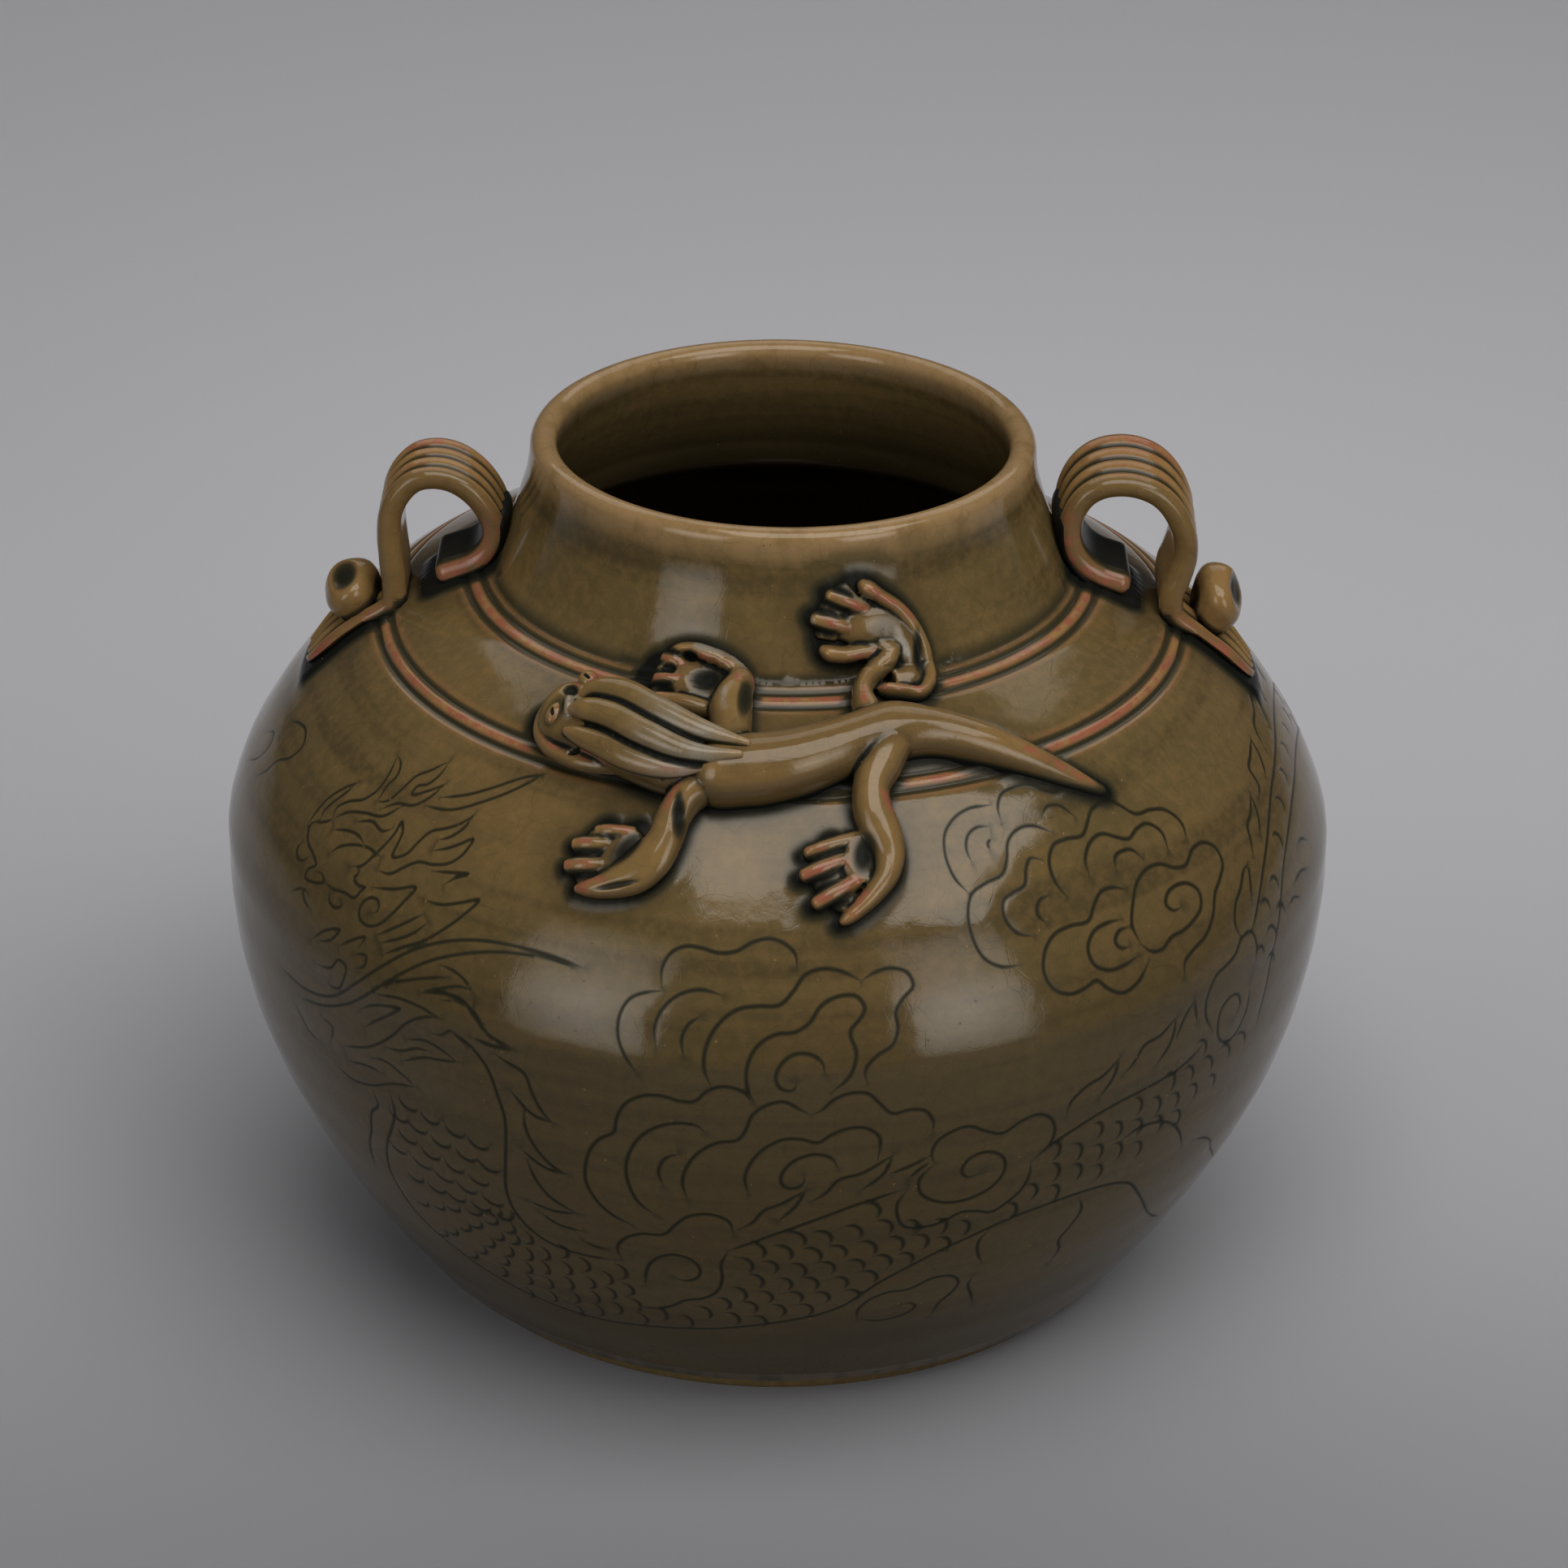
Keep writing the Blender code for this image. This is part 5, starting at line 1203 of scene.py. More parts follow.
def glazed_vessel(dice):
    """Throw the wall, carve the sheet and join them into one skin."""
    strokes = drawing(dice)
    places, halves = footprint()
    flat, faces = carved_sheet(strokes, places, halves)
    depth, shade = line_field(flat, strokes)
    away = clearance(sheet_space(flat), places, halves) / MM
    fillet = FILLET_HEIGHT * clamp(1.0 - away / FILLET_REACH) ** 2
    lifts = fillet - LINE_DEPTH * depth + plain_lifts(flat)
    sheet = mesh_object("carved_sheet", sheet_space(flat, lifts), faces)
    glaze_wall(sheet, flat, depth, shade, away)
    beside_line = (shade > 0.0) & (away > FILLET_REACH)
    lean = sheet.data.attributes.new("lean", "FLOAT_VECTOR", "POINT")
    lean.data.foreach_set("vector", (plain_lean(flat) * beside_line[:, None]).astype(np.float32).ravel())
    skin = turned_skin("glazed_vessel", inside_profile(), TURN_STEPS)
    foot = turned_skin("foot_skin", foot_profile(), TURN_STEPS)
    heights = points_of(skin)[:, 2]
    up_lip = (heights - (JAR_HEIGHT - LIP_THICKNESS)) / LIP_THICKNESS
    # Thin, milky glaze on the lip, brightened further as a painted highlight along its edge.
    paint(skin, "thin", np.clip(up_lip * 1.6, 0.0, 0.9))
    paint(skin, "pearl_and_highlight", np.clip(up_lip * 1.2, 0.0, LIP_PEARL))
    # Painted shade: the inside is painted darker the deeper it lies below the lip.
    paint(skin, "shade", clamp((JAR_HEIGHT - LIP_THICKNESS - heights) / 0.02))
    join_into(skin, [sheet, foot])
    tidy_mesh(skin, 0.02 * MM)
    return skin


def roll_rows(keys, spacing):
    """Return the smoothed rows of a roll and its middle line in space."""
    keys = np.array(keys) * MM
    rows = smooth_rows(keys, max(4, int(lengths_along(keys[:, :2])[-1] / spacing) + 2))
    return rows, OUTSIDE.place(rows[:, 0] / OUTSIDE.relief_radius, rows[:, 1], rows[:, 2])


def roll_mesh(name, keys, sides, spacing):
    """Model a rolled piece of clay that follows the surface through rows of keys."""
    rows, centres = roll_rows(keys, spacing)
    azimuths = rows[:, 0] / OUTSIDE.relief_radius
    normals = OUTSIDE.normals(azimuths, rows[:, 1])
    tangents = unit_rows(np.gradient(centres, axis=0))
    across = unit_rows(np.cross(tangents, normals))
    upward = np.cross(across, tangents)
    wide = np.maximum(rows[:, 3], 0.3 * MM)[:, None]
    high = np.maximum(rows[:, 4], 0.3 * MM)[:, None]
    rings = []
    for n in range(sides):
        turn = math.tau * n / sides
        rings.append(centres + across * wide * math.cos(turn) + upward * high * math.sin(turn))
    points = np.stack(rings, axis=1).reshape(-1, 3)
    return tube_object(name, points, len(rows), sides)


def tube_object(name, points, rings, sides):
    """Make a closed tube of rings of points."""
    faces = []
    for k in range(rings - 1):
        for n in range(sides):
            after = (n + 1) % sides
            faces.append((k * sides + n, k * sides + after, (k + 1) * sides + after, (k + 1) * sides + n))
    faces.append(tuple(range(sides))[::-1])
    faces.append(tuple((rings - 1) * sides + n for n in range(sides)))
    piece = mesh_object(name, points, faces)
    tidy_mesh(piece, 0.001 * MM)
    return piece


def toe_rows(toe):
    """Return the rows of one toe, from its root to its blunt tip."""
    (root_x, root_y), (tip_x, tip_y), half = toe
    rows = []
    for share, lift, wide, high in TOE_SHAPE:
        x, y = root_x + (tip_x - root_x) * share, root_y + (tip_y - root_y) * share
        rows.append((x, y, lift, half * wide, high))
    return tuple(rows)


def fuse(piece, voxel, rounds):
    """Press overlapping rolls into one piece of clay and stroke it smooth."""
    apply_modifier(piece, "REMESH", mode="VOXEL", voxel_size=voxel)
    apply_modifier(piece, "SMOOTH", factor=0.5, iterations=rounds)


def glaze_run(piece, rounds):
    """Return how hollow each point lies in its surroundings, in millimetres, and below zero on ridges."""
    ends = np.empty(len(piece.data.edges) * 2, dtype=np.int64)
    piece.data.edges.foreach_get("vertices", ends)
    near, far = ends[::2], ends[1::2]
    points = points_of(piece)
    count = np.bincount(near, minlength=len(points)) + np.bincount(far, minlength=len(points))
    soft = points.copy()
    for _ in range(rounds):
        total = np.zeros_like(soft)
        for axis in range(3):
            for one, other in ((near, far), (far, near)):
                total[:, axis] += np.bincount(one, weights=soft[other, axis], minlength=len(points))
        soft = 0.5 * soft + 0.5 * total / np.maximum(count, 1)[:, None]
    return np.einsum("ij,ij->i", soft - points, normals_of(piece)) / MM


def seat_on_wall(piece, flare, reach, deepest):
    """Flatten a luted piece under the skin and flare its foot, as slip and glaze fill the joint."""
    points = points_of(piece)
    azimuths, stations, lifts = OUTSIDE.address(points)
    normals = OUTSIDE.normals(azimuths, stations)
    side = normals_of(piece)
    side = side - normals * np.einsum("ij,ij->i", side, normals)[:, None]
    spread = clamp(1.0 - (lifts + 0.4 * MM) / reach) ** 2 * flare
    sink = np.where(lifts < deepest, deepest - lifts, 0.0)
    move_points(piece, points + side * spread[:, None] + normals * sink[:, None])
    return lifts / MM


def relief_address(points):
    """Return points as rightward and station in mm, as the relief's tables give them, and lift in mm."""
    azimuths, stations, lifts = OUTSIDE.address(points)
    return azimuths * OUTSIDE.relief_radius / MM, stations / MM, lifts / MM


def press_hollows(piece):
    """Press the hollows of the table into the relief and return how much glaze lies in them."""
    points = points_of(piece)
    azimuths, stations, lifts = OUTSIDE.address(points)
    rightward, down = azimuths * OUTSIDE.relief_radius / MM, stations / MM
    sunk, glaze = np.zeros(len(points)), np.zeros(len(points))
    for right, station, half, across, turn, depth, softness, fill in HOLLOWS:
        x, y = turned_by(turn, rightward - right, down - station)
        share = eased(clamp((1.0 + 0.5 * softness - np.hypot(x / half, y / across)) / softness))
        sunk = np.maximum(sunk, share * depth)
        glaze = np.maximum(glaze, share * fill)
    sunk = np.clip(np.minimum(sunk, lifts / MM - 0.7), 0.0, None) * MM
    move_points(piece, OUTSIDE.place(azimuths, stations, lifts - sunk))
    return glaze


def stroked(rightward, down, strokes):
    """Return how near points lie to the short strokes of a table."""
    near = np.zeros(len(rightward))
    for x0, y0, x1, y1, half in strokes:
        long = math.hypot(x1 - x0, y1 - y0)
        along = clamp(((rightward - x0) * (x1 - x0) + (down - y0) * (y1 - y0)) / long**2)
        away = np.hypot(rightward - x0 - along * (x1 - x0), down - y0 - along * (y1 - y0))
        near = np.maximum(near, clamp(1.5 - away / half))
    return near


def between_toes(rightward, down, lifts):
    """Return how far points lie down between the toes of the paws."""
    deep = np.zeros(len(rightward))
    for limb in LIMBS:
        beside, over = np.zeros(len(deep)), np.zeros(len(deep))
        for (x0, y0), (x1, y1), half in limb["toes"]:
            over = np.maximum(over, stroked(rightward, down, ((x0, y0, x1, y1, half * 0.74),)))
            x0, y0 = x0 + 0.62 * (x1 - x0), y0 + 0.62 * (y1 - y0)
            beside = np.maximum(beside, stroked(rightward, down, ((x0, y0, x1, y1, half * 1.4),)))
        deep = np.maximum(deep, clamp(beside * 1.6) * (1.0 - over))
    return deep * clamp(3.9 - lifts)


def dragon_relief():
    """Roll the dragon's body, head and legs, fuse them and press in the hollows."""
    rolls = [roll_mesh("dragon_relief", TORSO, 28, 0.9 * MM), roll_mesh("head", HEAD, 28, 0.9 * MM)]
    for limb in LIMBS:
        rolls.extend(roll_mesh("leg", roll, 24, 0.8 * MM) for roll in limb["rolls"])
        rolls.extend(roll_mesh("toe", toe_rows(toe), 16, 0.5 * MM) for toe in limb["toes"])
    rolls.extend(roll_mesh(name, rows, 16, 0.5 * MM) for name, rows in FACE_ROLLS.items())
    piece = rolls[0]
    join_into(piece, rolls[1:])
    fuse(piece, 0.36 * MM, 3)
    glaze = press_hollows(piece)
    apply_modifier(piece, "SMOOTH", factor=0.5, iterations=3)
    hollow = glaze_run(piece, 24)
    form = glaze_run(piece, 120)
    lifts = seat_on_wall(piece, 1.3 * MM, 2.4 * MM, -0.9 * MM)
    rightward, down, _ = relief_address(points_of(piece))
    joint = clamp(1.5 - lifts / 1.5) ** 1.3
    contact = np.maximum(joint, between_toes(rightward, down, lifts))
    # Painted shade: the flanks that turn away from the wall, the relief close to the wall and the gaps
    # between the toes are painted darker, and the flanks lose some of their thin, pale glaze.
    walls = OUTSIDE.normals(rightward * MM / OUTSIDE.relief_radius, down * MM)
    facing = (normals_of(piece) * walls).sum(axis=1)
    high = clamp(lifts - 1.6)
    paint(piece, "pool_and_shadow", np.maximum.reduce((contact, clamp(hollow * 6.0 - 0.1), glaze)))
    crest = clamp((-form - 0.45) / 0.5) * (1.0 - contact)
    turned_away = clamp((0.94 - facing) / 0.45)
    painted_flank_shade = np.maximum(clamp((form + 0.34) / 0.34), turned_away)
    thin = np.maximum(crest, RELIEF_THINNESS) * (1.0 - glaze) * (1.0 - contact)
    paint(piece, "thin", thin * (1.0 - 0.6 * painted_flank_shade))
    paint(piece, "blush", np.maximum(stroked(rightward, down, BLUSHES), crest * 0.2) * high)
    # Milky glaze on the relief, with painted glints.
    paint(piece, "pearl_and_highlight", stroked(rightward, down, PEARLS_AND_GLINTS) * high * 0.6)
    # Painted shade on the flanks, near the wall and between the toes.
    paint(piece, "shade", np.maximum(contact * 0.8, painted_flank_shade))
    return piece


def lock_grooves(points):
    """Return how near points lie to the grooves where two locks of the mane meet."""
    away = []
    for rows in MANE.values():
        line, centres = roll_rows(rows, 0.4 * MM)
        gaps = np.linalg.norm(points[:, None, :] - centres[None], axis=2) - line[None, :, 3] * 0.9
        away.append(gaps.min(axis=1) / MM)
    away = np.sort(np.array(away), axis=0)
    return clamp(1.7 - (away[1] - away[0]) / 0.9)


def dragon_mane():
    """Roll the locks of the mane, press them together and draw them out."""
    locks = [roll_mesh("lock", rows, 24, 0.6 * MM) for rows in MANE.values()]
    piece = locks[0]
    piece.name = "dragon_mane"
    join_into(piece, locks[1:])
    fuse(piece, 0.34 * MM, 6)
    grooves = lock_grooves(points_of(piece))
    form = glaze_run(piece, 40)
    rightward, down, lifts = relief_address(points_of(piece))
    along = (rightward + 36.0) / 30.0
    pearl_and_highlight = clamp(1.0 - np.abs(along - 0.72) / 0.45) * clamp(1.2 - grooves)
    low = clamp(1.0 - (lifts - 6.6) / 1.6)
    paint(piece, "pool_and_shadow", np.maximum(grooves, low))
    paint(piece, "thin", np.clip((-form - 0.12) / 0.3, 0.0, 0.8) * (1.0 - grooves))
    paint(piece, "pearl_and_highlight", pearl_and_highlight * 0.6)
    paint(piece, "blush", clamp(1.0 - np.abs(down - 27.5) / 1.0) * (along > 0.4) * 0.8)
    return piece


def unit_ball(name, segments, rings):
    """Make a ball with a radius of one and return it with its points."""
    bpy.ops.object.select_all(action="DESELECT")
    place = (0.0, 0.0, 0.0)
    bpy.ops.mesh.primitive_uv_sphere_add(segments=segments, ring_count=rings, radius=1.0, location=place)
    ball = bpy.context.object
    ball.name = name
    return ball, points_of(ball)


def dragon_eyes():
    """Press the two ball eyes, each with a slit."""
    balls = []
    for name, (right, station, lift, half, across, high, turn) in EYES.items():
        azimuth, down = np.array([right * MM / OUTSIDE.relief_radius]), np.array([station * MM])
        centre = OUTSIDE.place(azimuth, down, np.array([lift * MM]))[0]
        outward = OUTSIDE.normals(azimuth, down)[0]
        rightward = np.array((math.cos(azimuth[0]), math.sin(azimuth[0]), 0.0))
        downward = np.cross(rightward, outward)
        ball, unit = unit_ball(name, 40, 28)
        x, y = turned_by(turn, unit[:, 0], unit[:, 1])
        slit = clamp(1.0 - ((x - 0.12) / 0.5) ** 2) * clamp(1.0 - ((y - 0.1) / 0.2) ** 2)
        slit = slit * (unit[:, 2] > 0.2)
        size = 1.0 - 0.22 * slit
        shape = unit * np.array((half, across, high)) * size[:, None] * MM
        level = centre + shape[:, :1] * rightward + shape[:, 1:2] * downward
        move_points(ball, level + shape[:, 2:] * outward)
        paint(ball, "pool_and_shadow", np.maximum(slit * 1.5, np.clip(0.1 - unit[:, 2], 0.0, 0.6)))
        paint(ball, "thin", np.clip(unit[:, 2] - 0.3, 0.0, 0.5))
        paint(ball, "blush", np.clip((unit[:, 0] - 0.2) / 0.4, 0.0, 0.8) * (1.0 - slit))
        balls.append(ball)
    balls[0].name = "dragon_eyes"
    join_into(balls[0], balls[1:])
    return balls[0]


def strap_path(word):
    """Return one strap's middle line as (radius, height, thickness) rows, from foot tip to curl tip."""
    rows = []
    foot = (STRAP_TIP_THICKNESS, STRAP_FOOT_THICKNESS, STRAP_FOOT_THICKNESS)
    for station, thickness in zip(FOOT_STATIONS, foot):
        radius, height = OUTSIDE.lifted(np.array([station]), np.array([thickness / 2]))
        rows.append((radius[0], height[0], thickness))
    rows.extend((radius * MM, height * MM, STRAP_THICKNESS) for radius, height in STRAP_LINES[word])
    return np.array(rows)


def strap_outline(width, thickness, slim):
    """Return a strap's cross-section as across and outward offsets, with its groove and edge shares."""
    half_width = width / 2 * slim
    half = thickness / 2
    points, groove, edge = [], [], []
    for u in np.linspace(-1.0, 1.0, 49):
        phase = (u + 1.0) / 2 * STRAP_RIDGES
        dip = (0.5 + 0.5 * math.cos(math.tau * phase)) ** 5
        dip = dip if 0.5 < phase < STRAP_RIDGES - 0.5 else 0.0
        shoulder = max(0.0, abs(u) - 0.86) / 0.14
        sunk = STRAP_GROOVE * (dip + 0.5 * abs(math.cos(math.pi * phase))) * slim
        points.append((u * half_width, half - sunk - shoulder**2.2 * half * 0.6))
        groove.append(dip)
        edge.append(min(1.0, max(0.0, abs(u) - 0.74) / 0.12))
    for u in np.linspace(1.0, -1.0, 17)[1:-1]:
        shoulder = max(0.0, abs(u) - 0.7) / 0.3
        points.append((u * half_width, -half + shoulder**2 * half * 0.8))
        groove.append(-1.0)
        edge.append(min(1.0, 1.4 * shoulder))
    return np.array(points), np.array(groove), np.array(edge)


def strap_rings(word, rows, along):
    """Return the rings of one strap, each with the groove and edge shares of its points."""
    side, width = SIDES[word], STRAP_WIDTHS[word]
    outward = sideways(rows[:, :2])
    raised = clamp(np.sin(np.clip(along / along[-1] - 0.1, 0.0, 0.85) / 0.85 * math.pi)) ** 1.5
    rings, grooves, edges = [], [], []
    for k, (radius, height, thickness) in enumerate(rows):
        to_end = min(1.0, (along[-1] - along[k]) / (1.8 * MM))
        from_tip = min(1.0, (along[k] + 0.4 * MM) / (7.0 * MM))
        round_end = math.sqrt(max(0.02, 1.0 - (1.0 - to_end) ** 2))
        slim = (0.9 + 0.1 * round_end) * (0.55 + 0.45 * math.sqrt(from_tip))
        outline, groove, edge = strap_outline(width, thickness * (0.45 + 0.55 * round_end), slim)
        across, out = outline.T
        higher = STRAP_LEANS[word] * raised[k] * (0.5 + across / width)
        heights = height + outward[k, 1] * out + higher
        rings.append(np.column_stack((side * (radius + outward[k, 0] * out), across, heights)))
        grooves.append(groove)
        edges.append(edge)
    return rings, np.concatenate(grooves), np.concatenate(edges)


def strap_handle(word):
    """Pull one ribbed strap, bend it over and curl its end back on the shoulder."""
    rows = smooth_rows(strap_path(word), STRAP_STEPS)
    along = lengths_along(rows[:, :2])
    rings, groove, edge = strap_rings(word, rows, along)
    space = np.vstack(rings)
    piece = tube_object(f"strap_{word}", space, len(rings), len(rings[0]))
    lifts = seat_on_wall(piece, 1.0 * MM, 1.6 * MM, -0.8 * MM)
    contact = clamp(1.3 - lifts / 1.2) ** 1.3
    inner, groove = groove < 0.0, np.maximum(groove, 0.0)
    share = np.repeat(along / along[-1], len(rings[0]))
    burnt = np.maximum(clamp(1.6 - np.abs(share - 0.89) / 0.11), clamp(1.5 - share / 0.2)) * edge
    crown = clamp(1.2 - np.abs(share - 0.6) / 0.14)
    far_side = clamp((space[:, 1] / MM - 1.0) / 4.0)
    # Painted shade: the inner face of the curl is painted dark.
    curl = clamp((share - 0.72) / 0.08) * inner * (1.0 - edge)
    paint(piece, "pool_and_shadow", np.maximum.reduce((contact, np.clip(groove, 0.0, 0.62), 0.8 * curl)))
    paint(piece, "thin", clamp(0.75 - groove * 2.0 - 0.5 * edge) * (1.0 - contact))
    paint(piece, "blush", np.maximum(burnt, crown * (0.25 + 0.6 * far_side) * (1.0 - edge)) * (1.0 - groove))
    paint(piece, "shade", 0.35 * edge)
    join_into(piece, [slip_fill(word)])
    return piece


def slip_fill(word):
    """Run the thick glaze between one curl and the neck."""
    rows = smooth_rows(np.array(SLIP_LINES[word]) * MM, SLIP_STEPS)
    outward = sideways(rows)
    turn = np.linspace(0.0, math.tau, SLIP_SIDES, endpoint=False)
    rings = []
    for k, (radius, height) in enumerate(rows):
        from_end = min(k / 3.0, (len(rows) - 1 - k) / 10.0)
        full = math.sqrt(1.0 - max(0.0, 1.0 - from_end - 0.05) ** 2)
        across = np.cos(turn) * (STRAP_WIDTHS[word] / 2 - SLIP_MARGIN) * (0.6 + 0.4 * full)
        out = np.sin(turn) * SLIP_THICKNESS / 2 * full
        rightward = SIDES[word] * (radius + outward[k, 0] * out)
        rings.append(np.column_stack((rightward, across, height + outward[k, 1] * out)))
    piece = tube_object(f"slip_{word}", np.vstack(rings), len(rings), SLIP_SIDES)
    paint(piece, "pool_and_shadow", np.full(len(points_of(piece)), 0.92))
    return piece


def pellet(word):
    """Press the clay ball into the crook of one strap."""
    side = SIDES[word]
    (radius, height), sizes, dent = PELLETS[word]
    ball, unit = unit_ball(f"pressed_pellet_{word}", 56, 36)
    toward = np.array((side * dent[0], dent[1], dent[2]))
    pressed = eased(clamp((unit @ (toward / np.linalg.norm(toward)) - 0.78) / 0.2))
    x, y, z = unit.T
    lumps = 1.0 + 0.035 * np.sin(3.1 * x * side + 4.3 * z) + 0.03 * np.sin(5.2 * y + 2.0 * z)
    shape = unit * np.array(sizes) * lumps[:, None] * MM - unit * (pressed * DENT_DEPTH)[:, None]
    centre = np.array((side * radius, 0.0, height)) * MM
    move_points(ball, centre + shape)
    lifts = OUTSIDE.address(points_of(ball))[2]
    contact = clamp(1.0 - (lifts / MM - 2.2) / 2.4)
    inward = clamp((-x * side - 0.75) / 0.2)
    paint(ball, "pool_and_shadow", np.maximum.reduce((contact, pressed * 0.75, inward)))
    paint(ball, "thin", np.clip(0.55 - pressed, 0.0, 0.5) * (1.0 - contact))
    paint(ball, "blush", np.clip(0.35 - np.abs(pressed - 0.3), 0.0, 0.35))
    return ball


class Board:
    """A material's node tree, with short ways to add and wire its nodes."""

    def __init__(self, name):
        self.material = bpy.data.materials.new(name)
        self.material.use_nodes = True
        self.tree = self.material.node_tree
        self.shader = self.tree.nodes["Principled BSDF"]
        self.place = self.add("ShaderNodeTexCoord", {}, "Object")

    def feed(self, node, sockets):
        """Wire outputs to a node's sockets, or set the sockets' values."""
        for key, value in sockets.items():
            if isinstance(value, bpy.types.NodeSocket):
                self.tree.links.new(value, node.inputs[key])
            else:
                node.inputs[key].default_value = value

    def add(self, kind, sockets, output=0, **values):
        """Add a node with its own properties, feed its sockets and return one output."""
        node = self.tree.nodes.new(kind)
        for key, value in values.items():
            setattr(node, key, value)
        self.feed(node, sockets)
        return node.outputs[output]

    def attribute(self, name):
        """Read a number that was painted on the points."""
        return self.add("ShaderNodeAttribute", {}, "Fac", attribute_name=name)

    def math(self, operation, a, b=0.0, held=False):
        """Work out one number from two, held between zero and one where wanted."""
        return self.add("ShaderNodeMath", {0: a, 1: b}, operation=operation, use_clamp=held)

    def times(self, a, b, held=False):
        """Multiply two numbers."""
        return self.math("MULTIPLY", a, b, held)

    def stretched(self, scale):
        """Return the object's coordinates scaled along each axis."""
        return self.add("ShaderNodeMapping", {"Vector": self.place, "Scale": scale})

    def noise(self, scale, detail=3.0, roughness=0.5, along=None):
        """Return cloudy noise of a scale in cells per metre."""
        sockets = {"Vector": along or self.place, "Scale": scale, "Detail": detail, "Roughness": roughness}
        return self.add("ShaderNodeTexNoise", sockets, "Fac")

    def cells(self, scale, feature="DISTANCE_TO_EDGE", along=None):
        """Return distances in a pattern of cells of a scale in cells per metre."""
        sockets = {"Vector": along or self.place, "Scale": scale}
        return self.add("ShaderNodeTexVoronoi", sockets, "Distance", feature=feature)

    def ramp(self, value, low, high, out_low=0.0, out_high=1.0):
        """Stretch a number from one range to another, smoothly and clamped."""
        sockets = {"Value": value, "From Min": low, "From Max": high, "To Min": out_low, "To Max": out_high}
        return self.add("ShaderNodeMapRange", sockets, "Result", interpolation_type="SMOOTHSTEP")

    def blend(self, share, first, second):
        """Blend two colours by a share."""
        sockets = {0: share, 6: first, 7: second}
        for key in (6, 7):
            if not isinstance(sockets[key], bpy.types.NodeSocket):
                sockets[key] = (*sockets[key], 1.0)
        return self.add("ShaderNodeMix", sockets, 2, data_type="RGBA")

    def bump(self, height, strength, distance, before=None):
        """Return a normal roughened by a height."""
        sockets = {"Strength": strength, "Distance": distance, "Height": height}
        if before is not None:
            sockets["Normal"] = before
        return self.add("ShaderNodeBump", sockets, "Normal")


